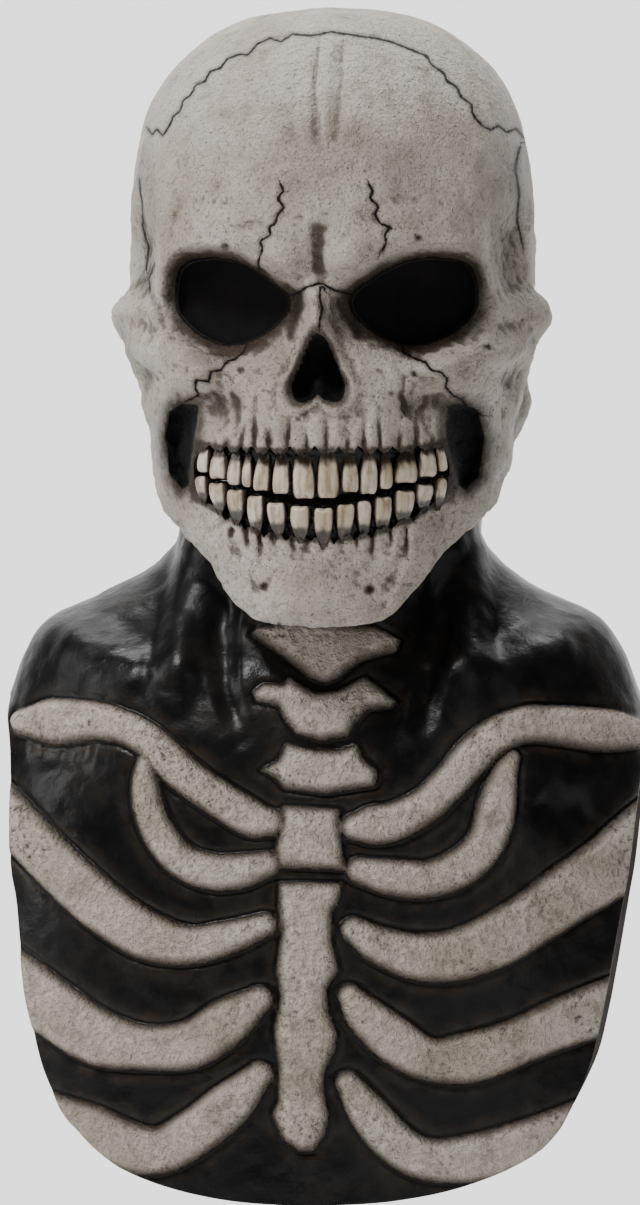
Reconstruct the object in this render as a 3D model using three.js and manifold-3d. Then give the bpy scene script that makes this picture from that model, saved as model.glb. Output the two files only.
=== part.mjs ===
// A full-head skull mask with a bib: one cast latex skin that runs from the crown over the neck to a
// shield-shaped bib with a raised ribcage, two cast rows of teeth set into its mouth from behind,
// and a panel of black see-through mesh behind each eye opening.
// Millimetres, +Z up. The face looks along -Y and the wearer's left is +X.
// The origin is where the top of the wearer's head meets the inside of the crown.
import * as THREE from "three";
import Module from "manifold-3d";

const wasm = await Module();
wasm.setup();

// Driving dimensions of the head
const HEAD_WIDTH = 189;
const HEAD_LENGTH = 236;
const HEAD_HEIGHT = 289;
// Driving dimensions of the neck and the bib
const NECK_WIDTH = 141;
const NECK_LENGTH = 146;
const SHOULDER_WIDTH = 298;
const CHEST_DEPTH = 184;
const BIB_DROP = 266.5;
const BIB_SHIFT = -4;
// The latex skin, its raised bones and how deep their feet are sunk in it
const WALL = 2.5;
const BONE_LIFT = 4.5;
const BONE_FOOT = 1.7;
// The openings of the face
const EYE_WIDTH = 56;
const EYE_SPACING = 85;
const EYE_INNER_DEPTH = 11;
const EYE_OUTER_DEPTH = 5;
const NOSE_HEIGHT = 34;
const NOSE_SETBACK = 15;
const CHEEK_SETBACK = 46;
const CHEEK_TILT = 1.45;
const MOUTH_WIDTH = 118;
// The teeth and the strip that carries them behind the skin
const TOOTH_PROUD = 1.2;
const TOOTH_GAP = 0.5;
const STRIP_WIDTH = 108;
const STRIP_THICKNESS = 2;
const STRIP_MARGIN = 4;
const ROW_GAP = 2.4;
// The mesh panels behind the eyes
const MESH_THICKNESS = 1;
const MESH_MARGIN = 1.1;
// Space between the skin and what is glued behind it
const CLEARANCE = 0.9;

const HALF_WIDTH = HEAD_WIDTH / 2;
const HALF_LENGTH = HEAD_LENGTH / 2;
const CROWN = WALL;
const CHIN = CROWN - HEAD_HEIGHT;
const PAST = 60;
const degrees = THREE.MathUtils.degToRad;
const smooth = THREE.MathUtils.smoothstep;

const table = (columns, rows) =>
  rows.map((row) => Object.fromEntries(columns.map((name, i) => [name, row[i]])));

// What a ring's shares are of: its height below the crown or the chin, its half width and its half depth
const FOLLOWS = {
  head: { top: CROWN, drop: HEAD_HEIGHT, half: HALF_WIDTH, depth: HALF_LENGTH, shift: 0 },
  neck: { top: CHIN, drop: BIB_DROP, half: NECK_WIDTH / 2, depth: NECK_LENGTH / 2, shift: BIB_SHIFT / 3 },
  bib: { top: CHIN, drop: BIB_DROP, half: SHOULDER_WIDTH / 2, depth: CHEST_DEPTH / 2, shift: BIB_SHIFT },
};

// The rings that the skin is lofted through, from the crown to below the hem. A ring's height is given
// at the front (z0), at four angles round to the side (z20 to z90) and at the back (z180).
// steps is the number of rows of faces down to the next ring.
const RING_ANGLES = [0, 20, 45, 67, 90, 180];
const RINGS = table(
  ["follows", "z0", "z20", "z45", "z67", "z90", "z180", "half", "front", "back", "square", "steps"],
  [
    ["head", 0, 0, 0, 0, 0, 0, 0, 0, 0, 2.0, 1],
    ["head", 0.013, 0.013, 0.013, 0.013, 0.013, 0.013, 0.37, 0.32, 0.31, 2.0, 1],
    ["head", 0.034, 0.034, 0.034, 0.034, 0.034, 0.034, 0.535, 0.46, 0.45, 2.0, 1],
    ["head", 0.065, 0.065, 0.065, 0.065, 0.065, 0.065, 0.683, 0.6, 0.59, 2.05, 1],
    ["head", 0.117, 0.117, 0.117, 0.117, 0.117, 0.117, 0.83, 0.76, 0.75, 2.1, 1],
    ["head", 0.182, 0.182, 0.182, 0.182, 0.182, 0.182, 0.93, 0.875, 0.89, 2.2, 1],
    ["head", 0.255, 0.255, 0.255, 0.255, 0.255, 0.255, 0.977, 0.945, 0.965, 2.3, 1],
    ["head", 0.337, 0.337, 0.337, 0.337, 0.337, 0.337, 1.0, 0.985, 1.0, 2.35, 2],
    ["head", 0.4, 0.4, 0.4, 0.4, 0.4, 0.4, 1.0, 0.985, 1.005, 2.35, 2],
    ["head", 0.475, 0.475, 0.475, 0.475, 0.475, 0.475, 0.995, 0.93, 0.99, 2.35, 3],
    ["head", 0.556, 0.556, 0.556, 0.556, 0.556, 0.556, 0.97, 0.935, 0.94, 2.3, 3],
    ["head", 0.637, 0.637, 0.636, 0.633, 0.63, 0.63, 0.95, 0.975, 0.86, 2.2, 2],
    ["head", 0.722, 0.721, 0.716, 0.7, 0.685, 0.69, 0.905, 1.005, 0.78, 2.1, 2],
    ["head", 0.805, 0.797, 0.758, 0.735, 0.712, 0.712, 0.9, 1.0, 0.745, 2.05, 2],
    ["head", 0.856, 0.85, 0.8, 0.765, 0.728, 0.728, 0.893, 0.985, 0.72, 2.0, 2],
    ["head", 0.93, 0.923, 0.848, 0.795, 0.742, 0.742, 0.885, 0.985, 0.7, 1.95, 2],
    ["head", 1.0, 0.992, 0.879, 0.815, 0.753, 0.753, 0.875, 0.955, 0.685, 1.9, 1],
    ["head", 0.975, 0.967, 0.864, 0.813, 0.768, 0.772, 0.757, 0.6, 0.645, 2.0, 1],
    ["neck", 0.009, 0.002, -0.069, -0.137, -0.163, -0.163, 1.0, 0.96, 1.0, 2.1, 1],
    ["neck", 0.039, 0.032, -0.013, -0.077, -0.111, -0.114, 1.135, 1.0, 1.01, 2.1, 1],
    ["bib", 0.069, 0.062, 0.024, -0.024, -0.054, -0.069, 0.7, 0.826, 0.85, 2.1, 1],
    ["bib", 0.096, 0.088, 0.062, 0.017, -0.006, -0.021, 0.875, 0.86, 0.89, 2.15, 1],
    ["bib", 0.137, 0.133, 0.111, 0.073, 0.05, 0.04, 0.946, 0.89, 0.93, 2.2, 1],
    ["bib", 0.205, 0.2, 0.186, 0.156, 0.133, 0.133, 1.0, 0.935, 0.97, 2.3, 2],
    ["bib", 0.317, 0.314, 0.306, 0.287, 0.276, 0.276, 1.07, 0.98, 1.0, 2.35, 3],
    ["bib", 0.538, 0.538, 0.538, 0.538, 0.538, 0.538, 1.11, 1.03, 1.0, 2.35, 3],
    ["bib", 0.8, 0.8, 0.8, 0.8, 0.8, 0.8, 1.12, 1.06, 0.98, 2.35, 2],
    ["bib", 1.034, 1.034, 1.034, 1.034, 1.034, 1.034, 1.12, 1.06, 0.96, 2.35, 1],
  ],
);
const LAST = RINGS.length - 1;
const JAW = RINGS.findIndex((ring) => ring.z0 === 1);
const NECK = RINGS.findIndex((ring) => ring.follows === "neck");

// Rows above this ring, and rows of the neck and bib, have fewer faces round
const CROWN_RINGS = 5;
const FACE_COLUMNS = 19;
const CROWN_COLUMNS = 14;
const BIB_COLUMNS = 13;
const FACE_CROWDING = 1.6;
const BIB_CROWDING = 1.1;

// Round bumps and hollows of the face, on both sides of it. across is a share of the half width,
// down of the height, wide and tall are their radii, and lift is a share of the half length.
const LENSES = table(
  ["across", "down", "wide", "tall", "tilt", "lift"],
  [
    [0.16, 0.395, 0.26, 0.055, 0, 0.04], // inner brow
    [0.55, 0.37, 0.4, 0.05, -8, 0.035], // outer brow
    [0.0, 0.505, 0.17, 0.075, 0, 0.13], // nasal bones
    [0.0, 0.46, 0.1, 0.06, 0, 0.04], // bridge of the nose
    [0.7, 0.575, 0.3, 0.07, -20, 0.075], // cheekbone
    [0.48, 0.655, 0.2, 0.055, 0, -0.045], // hollow below the eye
    [0.0, 0.7, 0.6, 0.08, 0, 0.04], // upper jaw
    [0.0, 0.875, 0.5, 0.045, 0, -0.02], // hollow above the chin
    [0.0, 0.955, 0.34, 0.05, 0, 0.045], // chin
    [0.2, 0.975, 0.13, 0.03, 0, 0.025], // corner of the chin
    [0.8, 0.47, 0.12, 0.09, 0, 0.05], // outer rim of the eye socket
    [0.93, 0.4, 0.14, 0.12, 0, -0.09], // temple
    [0.35, 0.22, 0.4, 0.1, 0, 0.015], // swelling of the forehead
    [0.15, 0.428, 0.17, 0.052, 12, 0.055], // pad of the inner brow
    [0.62, 0.6, 0.27, 0.042, -22, 0.045], // crest of the cheekbone
    [0.83, 0.56, 0.13, 0.05, -10, 0.03], // corner of the cheekbone
  ],
);

// Bumps and hollows of the sides: along is a share of the half length, back from the middle
const SIDE_LENSES = table(
  ["along", "down", "long", "tall", "tilt", "lift"],
  [
    [-0.42, 0.4, 0.3, 0.1, 0, -0.06], // temple
    [-0.12, 0.5, 0.42, 0.05, -5, 0.075], // arch of the cheekbone
    [-0.2, 0.54, 0.4, 0.1, -5, 0.055], // foot of the arch
    [-0.5, 0.56, 0.25, 0.045, 12, 0.05], // root of the arch
    [-0.3, 0.6, 0.25, 0.045, 0, -0.05], // hollow below the arch
    [0.2, 0.66, 0.14, 0.07, 15, 0.06], // knob behind the ear
    [0.07, 0.575, 0.05, 0.018, 0, -0.06], // ear canal
  ],
);

// Outlines of the openings as radii at even angles, in shares of half the opening's size.
// The eye's go right round from its outer corner, and the nose's up its side from the bottom.
const EYE_RADII = [0.99, 1.05, 0.81, 0.67, 0.64, 0.725, 0.985, 0.82, 0.71, 0.68, 0.7, 0.815, 0.99];
const EYE_DOWN = 0.483;
const NOSE_RADII = [0.5, 0.765, 0.95, 0.835, 0.68, 0.59, 0.65, 0.87, 1.235];
const NOSE_DOWN = 0.602;
const CHEEK_OUTLINE = table(
  ["across", "down"],
  [[0.66, 0.645], [0.72, 0.65], [0.755, 0.7], [0.745, 0.75], [0.7, 0.772], [0.66, 0.755], [0.645, 0.7]],
);

// The eye recess's floor against the opening, and how steeply the recesses' walls flare outwards
const EYE_FLOOR = 1.1;
const EYE_FLARE = 0.308;
const NOSE_FLARE = 0.136;

// Upper and lower edge of the mouth opening and the line between the rows of teeth,
// in shares of the head's height, from the middle to the end
const MOUTH = table(
  ["across", "upper", "line", "lower"],
  [
    [0, 0.722, 0.8, 0.857],
    [0.35, 0.723, 0.79, 0.851],
    [0.7, 0.72, 0.77, 0.825],
    [0.9, 0.712, 0.758, 0.802],
    [1, 0.708, 0.751, 0.794],
  ],
);

// The teeth, from the wearer's right to left, in shares of the head's half width and height
const UPPER_TEETH = table(
  ["across", "wide", "top", "bottom"],
  [
    [-0.57, 0.06, 0.719, 0.754],
    [-0.495, 0.085, 0.726, 0.764],
    [-0.41, 0.07, 0.731, 0.774],
    [-0.345, 0.05, 0.737, 0.778],
    [-0.271, 0.085, 0.737, 0.785],
    [-0.175, 0.09, 0.737, 0.789],
    [-0.065, 0.115, 0.735, 0.796],
    [0.055, 0.11, 0.727, 0.796],
    [0.16, 0.085, 0.736, 0.786],
    [0.25, 0.085, 0.728, 0.788],
    [0.33, 0.065, 0.735, 0.78],
    [0.425, 0.11, 0.731, 0.77],
    [0.525, 0.085, 0.721, 0.762],
    [0.59, 0.045, 0.719, 0.754],
  ],
);
const LOWER_TEETH = table(
  ["across", "wide", "top", "bottom"],
  [
    [-0.58, 0.06, 0.76, 0.79],
    [-0.5, 0.08, 0.771, 0.805],
    [-0.405, 0.09, 0.782, 0.82],
    [-0.305, 0.085, 0.792, 0.838],
    [-0.2, 0.095, 0.804, 0.842],
    [-0.085, 0.1, 0.808, 0.848],
    [0.03, 0.1, 0.808, 0.85],
    [0.135, 0.09, 0.805, 0.847],
    [0.225, 0.07, 0.799, 0.842],
    [0.315, 0.085, 0.792, 0.834],
    [0.415, 0.095, 0.782, 0.822],
    [0.51, 0.08, 0.772, 0.803],
    [0.585, 0.05, 0.762, 0.797],
  ],
);

// Bones of the bib that follow a line: across and half are shares of the half shoulder width,
// down of the bib's drop below the chin
const stroke = (rows) => table(["across", "down", "half"], rows);
const STROKES = {
  collarbone_right: stroke([
    [-0.93, 0.171, 0.047], [-0.83, 0.169, 0.073], [-0.705, 0.166, 0.063], [-0.604, 0.175, 0.054],
    [-0.516, 0.198, 0.054], [-0.446, 0.235, 0.06], [-0.374, 0.268, 0.06], [-0.279, 0.303, 0.06],
    [-0.185, 0.333, 0.06], [-0.131, 0.339, 0.045],
  ]),
  collarbone_left: stroke([
    [1.0, 0.19, 0.047], [0.897, 0.183, 0.066], [0.762, 0.173, 0.062], [0.651, 0.171, 0.057],
    [0.566, 0.189, 0.06], [0.494, 0.224, 0.063], [0.424, 0.27, 0.06], [0.352, 0.309, 0.06],
    [0.257, 0.337, 0.063], [0.178, 0.344, 0.063], [0.131, 0.347, 0.045],
  ]),
  rib_1_right: stroke([
    [-0.522, 0.236, 0.028], [-0.525, 0.268, 0.044], [-0.513, 0.312, 0.054], [-0.475, 0.362, 0.057],
    [-0.405, 0.406, 0.057], [-0.311, 0.425, 0.06], [-0.216, 0.423, 0.057], [-0.14, 0.411, 0.044],
  ]),
  rib_1_left: stroke([
    [0.614, 0.228, 0.025], [0.588, 0.259, 0.044], [0.566, 0.312, 0.063], [0.538, 0.369, 0.063],
    [0.472, 0.411, 0.063], [0.368, 0.436, 0.06], [0.257, 0.434, 0.06], [0.15, 0.422, 0.046],
  ]),
  rib_2_right: stroke([
    [-1.021, 0.309, 0.082], [-0.945, 0.347, 0.082], [-0.856, 0.393, 0.082], [-0.752, 0.446, 0.085],
    [-0.636, 0.497, 0.082], [-0.516, 0.536, 0.079], [-0.383, 0.552, 0.063], [-0.248, 0.536, 0.054],
    [-0.144, 0.515, 0.041],
  ]),
  rib_2_left: stroke([
    [1.04, 0.357, 0.1], [0.985, 0.382, 0.1], [0.904, 0.422, 0.1], [0.793, 0.462, 0.095],
    [0.683, 0.503, 0.088], [0.573, 0.541, 0.088], [0.446, 0.568, 0.082], [0.33, 0.57, 0.076],
    [0.216, 0.552, 0.063], [0.13, 0.524, 0.044],
  ]),
  rib_3_right: stroke([
    [-0.989, 0.598, 0.091], [-0.91, 0.63, 0.095], [-0.806, 0.67, 0.095], [-0.674, 0.713, 0.091],
    [-0.516, 0.73, 0.073], [-0.374, 0.723, 0.076], [-0.263, 0.684, 0.076], [-0.16, 0.644, 0.046],
  ]),
  rib_3_left: stroke([
    [0.998, 0.644, 0.085], [0.904, 0.661, 0.085], [0.778, 0.686, 0.082], [0.636, 0.718, 0.076],
    [0.494, 0.744, 0.082], [0.368, 0.748, 0.069], [0.257, 0.714, 0.076], [0.162, 0.67, 0.063],
    [0.118, 0.637, 0.041],
  ]),
  rib_4_right: stroke([
    [-0.879, 0.832, 0.057], [-0.8, 0.85, 0.063], [-0.689, 0.873, 0.076], [-0.563, 0.903, 0.079],
    [-0.468, 0.907, 0.076], [-0.358, 0.873, 0.076], [-0.248, 0.824, 0.072], [-0.158, 0.774, 0.044],
  ]),
  rib_4_left: stroke([
    [0.888, 0.85, 0.076], [0.778, 0.873, 0.076], [0.651, 0.898, 0.079], [0.509, 0.917, 0.076],
    [0.374, 0.922, 0.069], [0.273, 0.898, 0.069], [0.185, 0.845, 0.066], [0.115, 0.788, 0.042],
  ]),
};
const STROKE_STATIONS = 9;

// Bones of the middle line, as edges at stations down the breastbone or across a vertebra
const breastbone = (rows) => table(["down", "right", "left"], rows);
const PLATES_DOWN = {
  handle: breastbone([
    [0.314, -0.086, 0.084], [0.345, -0.094, 0.08], [0.384, -0.108, 0.094], [0.416, -0.1, 0.098],
  ]),
  blade: breastbone([
    [0.444, -0.098, 0.094], [0.475, -0.1, 0.086], [0.505, -0.096, 0.066], [0.545, -0.094, 0.066],
    [0.593, -0.106, 0.086], [0.63, -0.098, 0.055], [0.663, -0.103, 0.057], [0.702, -0.112, 0.08],
    [0.735, -0.106, 0.072], [0.772, -0.1, 0.043], [0.8, -0.1, 0.042], [0.843, -0.116, 0.055],
    [0.88, -0.094, 0.04], [0.904, -0.045, 0.01],
  ]),
};
const vertebra = (rows) => table(["across", "top", "bottom"], rows);
const PLATES_ACROSS = {
  vertebra_high: vertebra([
    [-0.205, 0.016, 0.026], [-0.181, 0.014, 0.034], [-0.13, 0.012, 0.044], [-0.065, 0.012, 0.064],
    [-0.01, 0.012, 0.088], [0.036, 0.012, 0.096], [0.074, 0.012, 0.088], [0.147, 0.012, 0.058],
    [0.2, 0.012, 0.05], [0.254, 0.018, 0.044], [0.268, 0.026, 0.036],
  ]),
  vertebra_middle: vertebra([
    [-0.2, 0.11, 0.128], [-0.156, 0.101, 0.135], [-0.1, 0.102, 0.145], [-0.08, 0.092, 0.168],
    [-0.03, 0.104, 0.188], [0.03, 0.116, 0.195], [0.09, 0.113, 0.19], [0.134, 0.098, 0.166],
    [0.165, 0.091, 0.147], [0.21, 0.105, 0.143], [0.262, 0.125, 0.133],
  ]),
  vertebra_low: vertebra([
    [-0.168, 0.245, 0.262], [-0.118, 0.238, 0.265], [-0.095, 0.219, 0.278], [-0.08, 0.208, 0.28],
    [0.0, 0.216, 0.284], [0.04, 0.217, 0.286], [0.1, 0.212, 0.283], [0.14, 0.207, 0.28],
    [0.16, 0.228, 0.279], [0.203, 0.249, 0.275],
  ]),
};

// Cross-section of a raised bone: how far over from one edge, and how high in shares of the lift
const BONE_SECTION = table(
  ["over", "high"],
  [[0, -1], [0, 0.4], [0.27, 1], [0.73, 1], [1, 0.4], [1, -1]],
);

// The trimmed edge of the bib, front and back, from the shoulders down
const HEM = table(
  ["down", "right", "left"],
  [
    [0.16, -0.99, 1.02], [0.206, -0.975, 1.02], [0.277, -0.965, 1.002], [0.418, -0.961, 0.973],
    [0.489, -0.938, 0.951], [0.63, -0.912, 0.907], [0.7, -0.882, 0.882], [0.771, -0.847, 0.85],
    [0.841, -0.787, 0.793], [0.877, -0.73, 0.755], [0.912, -0.664, 0.69], [0.947, -0.57, 0.57],
    [0.975, -0.42, 0.42], [0.993, -0.25, 0.24], [1.0, -0.08, 0.06],
  ],
);

// Monotone cubic through values at rising positions, level at both ends
function monotone(positions, values, x) {
  const last = positions.length - 1;
  const i = Math.max(0, Math.min(last - 1, positions.findLastIndex((p) => p <= x)));
  const width = positions[i + 1] - positions[i];
  const rise = (k) => (values[k + 1] - values[k]) / (positions[k + 1] - positions[k]);
  const slope = (k) => {
    if (k === 0 || k === last) return 0;
    const [a, b] = [rise(k - 1), rise(k)];
    return a * b <= 0 ? 0 : (2 * a * b) / (a + b);
  };
  const u = Math.min(1, Math.max(0, (x - positions[i]) / width));
  const change = values[i + 1] - values[i];
  return (
    values[i] +
    change * u * u * (3 - 2 * u) +
    width * (u * (1 - u) * (1 - u) * slope(i) - u * u * (1 - u) * slope(i + 1))
  );
}

const RING_PLACES = RINGS.map((_, i) => i);
const along = (values, v) => monotone(RING_PLACES, values, v);
const ringSizes = {
  half: RINGS.map((ring) => ring.half * FOLLOWS[ring.follows].half),
  front: RINGS.map((ring) => ring.front * FOLLOWS[ring.follows].depth),
  back: RINGS.map((ring) => ring.back * FOLLOWS[ring.follows].depth),
  square: RINGS.map((ring) => ring.square),
  shift: RINGS.map((ring) => FOLLOWS[ring.follows].shift),
};
const ringHeights = RINGS.map((ring) => {
  const { top, drop } = FOLLOWS[ring.follows];
  return [ring.z0, ring.z20, ring.z45, ring.z67, ring.z90, ring.z180].map((z) => top - z * drop);
});

function heightAt(angle, v) {
  const turned = Math.abs(angle);
  return along(ringHeights.map((heights) => monotone(RING_ANGLES, heights, turned)), v);
}

// The plain form, before its bumps and hollows: angle from the front in degrees, v in rings
function basePoint(angle, v) {
  const half = along(ringSizes.half, v);
  const power = 2 / along(ringSizes.square, v);
  const [s, c] = [Math.sin(degrees(angle)), Math.cos(degrees(angle))];
  const depth = c > 0 ? along(ringSizes.front, v) : along(ringSizes.back, v);
  return new THREE.Vector3(
    along(ringSizes.shift, v) + half * Math.sign(s) * Math.abs(s) ** power,
    -depth * Math.sign(c) * Math.abs(c) ** power,
    heightAt(angle, v),
  );
}

function baseNormal(angle, v) {
  const nudge = 0.02;
  const low = Math.max(v - nudge, 0.01);
  const high = Math.min(v + nudge, LAST);
  const down = basePoint(angle, high).sub(basePoint(angle, low));
  const round = basePoint(angle + 1, Math.max(v, 0.01)).sub(basePoint(angle - 1, Math.max(v, 0.01)));
  return v < 0.01 ? new THREE.Vector3(0, 0, 1) : round.cross(down).negate().normalize();
}

// Height of a lens at a place, from its middle (1) to its rim (0)
function lensHeight(dx, dz, wide, tall, tilt) {
  const [s, c] = [Math.sin(degrees(tilt)), Math.cos(degrees(tilt))];
  const u = (dx * c + dz * s) / wide;
  const w = (dz * c - dx * s) / tall;
  return Math.max(0, 1 - u * u - w * w) ** 2;
}

// The flat floors of the recesses of the nose and beside the jaws
const noseFloor = () => NOSE_SETBACK - HALF_LENGTH;
const cheekFloor = (x) => CHEEK_SETBACK - HALF_LENGTH + CHEEK_TILT * (Math.abs(x) - MOUTH_WIDTH / 2);
const CHEEK_SLANT = Math.hypot(1, CHEEK_TILT);

function frontLift(x, z) {
  const down = (CROWN - z) / HEAD_HEIGHT;
  const across = Math.abs(x) / HALF_WIDTH;
  if (down > 1.05) return 0;
  return LENSES.reduce(
    (sum, lens) =>
      sum +
      lens.lift *
        HALF_LENGTH *
        lensHeight(
          (across - lens.across) * HALF_WIDTH, (lens.down - down) * HEAD_HEIGHT,
          lens.wide * HALF_WIDTH, lens.tall * HEAD_HEIGHT, lens.tilt,
        ),
    0,
  );
}

function sideLift(y, z) {
  const down = (CROWN - z) / HEAD_HEIGHT;
  return SIDE_LENSES.reduce(
    (sum, lens) =>
      sum +
      lens.lift *
        HALF_WIDTH *
        lensHeight(
          y - lens.along * HALF_LENGTH, (lens.down - down) * HEAD_HEIGHT,
          lens.long * HALF_LENGTH, lens.tall * HEAD_HEIGHT, lens.tilt,
        ),
    0,
  );
}

// A point of the skin, inset along the plain form's normal
function skinPoint(angle, v, inset) {
  const p = basePoint(angle, v);
  if (inset > 0) p.addScaledVector(baseNormal(angle, v), -inset);
  if (v > JAW) return p;
  const facing = smooth(Math.cos(degrees(angle)), 0, 0.35);
  const side = smooth(Math.abs(Math.sin(degrees(angle))), 0.45, 0.8);
  const lifted = facing * frontLift(p.x, p.z);
  p.x += Math.sign(p.x) * side * sideLift(p.y, p.z);
  p.y -= lifted;
  return p;
}

// The angle and the ring of a place on the front of the plain form, between two rings
function frontPlace(x, z, firstRing, lastRing) {
  let angle = 0;
  let v = firstRing;
  for (let round = 0; round < 12; round++) {
    let [low, high] = [firstRing, lastRing];
    for (let halving = 0; halving < 18; halving++) {
      v = (low + high) / 2;
      if (heightAt(angle, v) > z) low = v;
      else high = v;
    }
    const share = Math.abs(x - along(ringSizes.shift, v)) / along(ringSizes.half, v);
    const sine = Math.min(1, share) ** (along(ringSizes.square, v) / 2);
    angle = THREE.MathUtils.radToDeg(Math.asin(sine));
  }
  return [Math.sign(x) * angle, v];
}

const frontPoint = (x, z, firstRing, lastRing) => skinPoint(...frontPlace(x, z, firstRing, lastRing), 0);

// The flat floors round the eyes: each lies at set depths below the plain form at its inner and outer end
const EYE_LEVEL = CROWN - EYE_DOWN * HEAD_HEIGHT;
const EYE_ENDS = [(EYE_SPACING - EYE_WIDTH) / 2, (EYE_SPACING + EYE_WIDTH) / 2];
const plainDepth = (x, z) => basePoint(...frontPlace(x, z, 1, JAW)).y;
const EYE_INNER_FLOOR = plainDepth(EYE_ENDS[0], EYE_LEVEL) + EYE_INNER_DEPTH;
const EYE_OUTER_FLOOR = plainDepth(EYE_ENDS[1], EYE_LEVEL) + EYE_OUTER_DEPTH;
const EYE_TILT = (EYE_OUTER_FLOOR - EYE_INNER_FLOOR) / EYE_WIDTH;
const EYE_SLANT = Math.hypot(1, EYE_TILT);
const eyeFloor = (x) => EYE_INNER_FLOOR + EYE_TILT * (Math.abs(x) - EYE_ENDS[0]);

// The outward normal of the front at a place, by differences
function frontNormal(x, z, firstRing, lastRing) {
  const at = (dx, dz) => frontPoint(x + dx, z + dz, firstRing, lastRing).y;
  return new THREE.Vector3((at(2, 0) - at(-2, 0)) / 4, -1, (at(0, 2) - at(0, -2)) / 4).normalize();
}

function solidOf(points, faces) {
  const made = new wasm.Manifold(
    new wasm.Mesh({
      numProp: 3,
      vertProperties: new Float32Array(points.flatMap((p) => p.toArray())),
      triVerts: new Uint32Array(faces.flat()),
    }),
  );
  return made.volume() > 0 ? made : solidOf(points, faces.map(([a, b, c]) => [a, c, b]));
}

// Faces between two closed rows of points whose places round are given in degrees
function zip(upper, lower) {
  const faces = [];
  let [i, j] = [0, 0];
  const place = (row, k) => (k < row.angles.length ? row.angles[k] : 180);
  const index = (row, k) => row.first + (k % row.angles.length);
  while (i < upper.angles.length || j < lower.angles.length) {
    const stepUpper =
      j === lower.angles.length ||
      (i < upper.angles.length && place(upper, i + 1) <= place(lower, j + 1));
    const third = stepUpper ? index(upper, i + 1) : index(lower, j + 1);
    faces.push([index(upper, i), index(lower, j), third]);
    if (stepUpper) i++;
    else j++;
  }
  return faces;
}

// Angles round a row, crowded towards the front, from the back at -180
function columnAngles(perSide, crowding) {
  const side = Array.from({ length: perSide }, (_, i) => 180 * ((i + 1) / perSide) ** crowding);
  return [...side.toReversed().map((a) => -a), 0, ...side.slice(0, -1)];
}

// The closed body within the skin's outer face, or within its inner face when inset, run on below
function formSolid(inset) {
  const places = RINGS.flatMap((ring, k) =>
    k === LAST ? [k] : Array.from({ length: ring.steps }, (_, i) => k + i / ring.steps),
  ).slice(1);
  const columnsAt = (v) => {
    if (v <= CROWN_RINGS) return CROWN_COLUMNS;
    return v < NECK ? FACE_COLUMNS : BIB_COLUMNS;
  };
  const points = [];
  const rows = places.map((v) => {
    const angles = columnAngles(columnsAt(v), v < NECK ? FACE_CROWDING : BIB_CROWDING);
    const row = { first: points.length, angles };
    points.push(...angles.map((angle) => skinPoint(angle, v, inset)));
    return row;
  });
  const last = { first: points.length, angles: rows.at(-1).angles };
  if (inset > 0) {
    points.push(...points.slice(rows.at(-1).first).map((p) => p.clone().setZ(p.z - PAST)));
    rows.push(last);
  }
  const faces = rows.slice(1).flatMap((row, i) => zip(rows[i], row));
  const fan = (row, tip, flipped) => {
    const top = points.push(tip) - 1;
    row.angles.forEach((_, k) => {
      const [a, b] = [row.first + k, row.first + ((k + 1) % row.angles.length)];
      faces.push(flipped ? [top, b, a] : [top, a, b]);
    });
  };
  fan(rows[0], new THREE.Vector3(0, 0, CROWN - inset), false);
  fan(rows.at(-1), new THREE.Vector3(BIB_SHIFT, 0, points[rows.at(-1).first].z), true);
  return solidOf(points, faces);
}

// A body between two faces given as functions of x. Its outline there is a list of [x, z].
function prism(nearOutline, farOutline, near, far) {
  const n = nearOutline.length;
  const flats = [nearOutline, farOutline].map((outline) => outline.map(([x, z]) => new THREE.Vector2(x, z)));
  const points = [near, far].flatMap((y, i) => flats[i].map((p) => new THREE.Vector3(p.x, y(p.x), p.y)));
  const walls = flats[0].flatMap((_, i) => {
    const next = (i + 1) % n;
    return [[i, next, i + n], [next, next + n, i + n]];
  });
  const turned = ([a, b, c]) => (THREE.ShapeUtils.isClockWise(flats[0]) ? [a, c, b] : [a, b, c]);
  const caps = flats.map((flat) => THREE.ShapeUtils.triangulateShape(flat, []));
  const nearCap = caps[0].map(([a, b, c]) => [a, c, b]);
  const farCap = caps[1].map((face) => face.map((k) => k + n));
  return solidOf(points, [...walls.map(turned), ...nearCap, ...farCap]);
}

const slab = (outline, near, far) => prism(outline, outline, near, far);

const NEAR = -HALF_LENGTH - PAST;
const EYE_POINTS = 20;
const NOSE_POINTS = 9;

// Points of an outline given by radii at even angles, from one angle to another
function radialPoints(count, radii, size, from, to) {
  const places = radii.map((_, k) => from + (k * (to - from)) / (radii.length - 1));
  return Array.from({ length: count }, (_, i) => {
    const turn = from + (i * (to - from)) / (to - from === 360 ? count : count - 1);
    const r = size * monotone(places, radii, turn);
    return [r * Math.cos(degrees(turn)), r * Math.sin(degrees(turn))];
  });
}

function eyeOutline(side, grown) {
  return radialPoints(EYE_POINTS, EYE_RADII, (grown * EYE_WIDTH) / 2, 0, 360).map(([x, z]) => [
    side * (EYE_SPACING / 2 + x), EYE_LEVEL + z,
  ]);
}

function noseOutline(grown) {
  const half = radialPoints(NOSE_POINTS, NOSE_RADII, (grown * NOSE_HEIGHT) / 2, -90, 90);
  const mirrored = half.slice(1, -1).toReversed().map(([x, z]) => [-x, z]);
  return [...half, ...mirrored].map(([x, z]) => [x, CROWN - NOSE_DOWN * HEAD_HEIGHT + z]);
}

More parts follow.
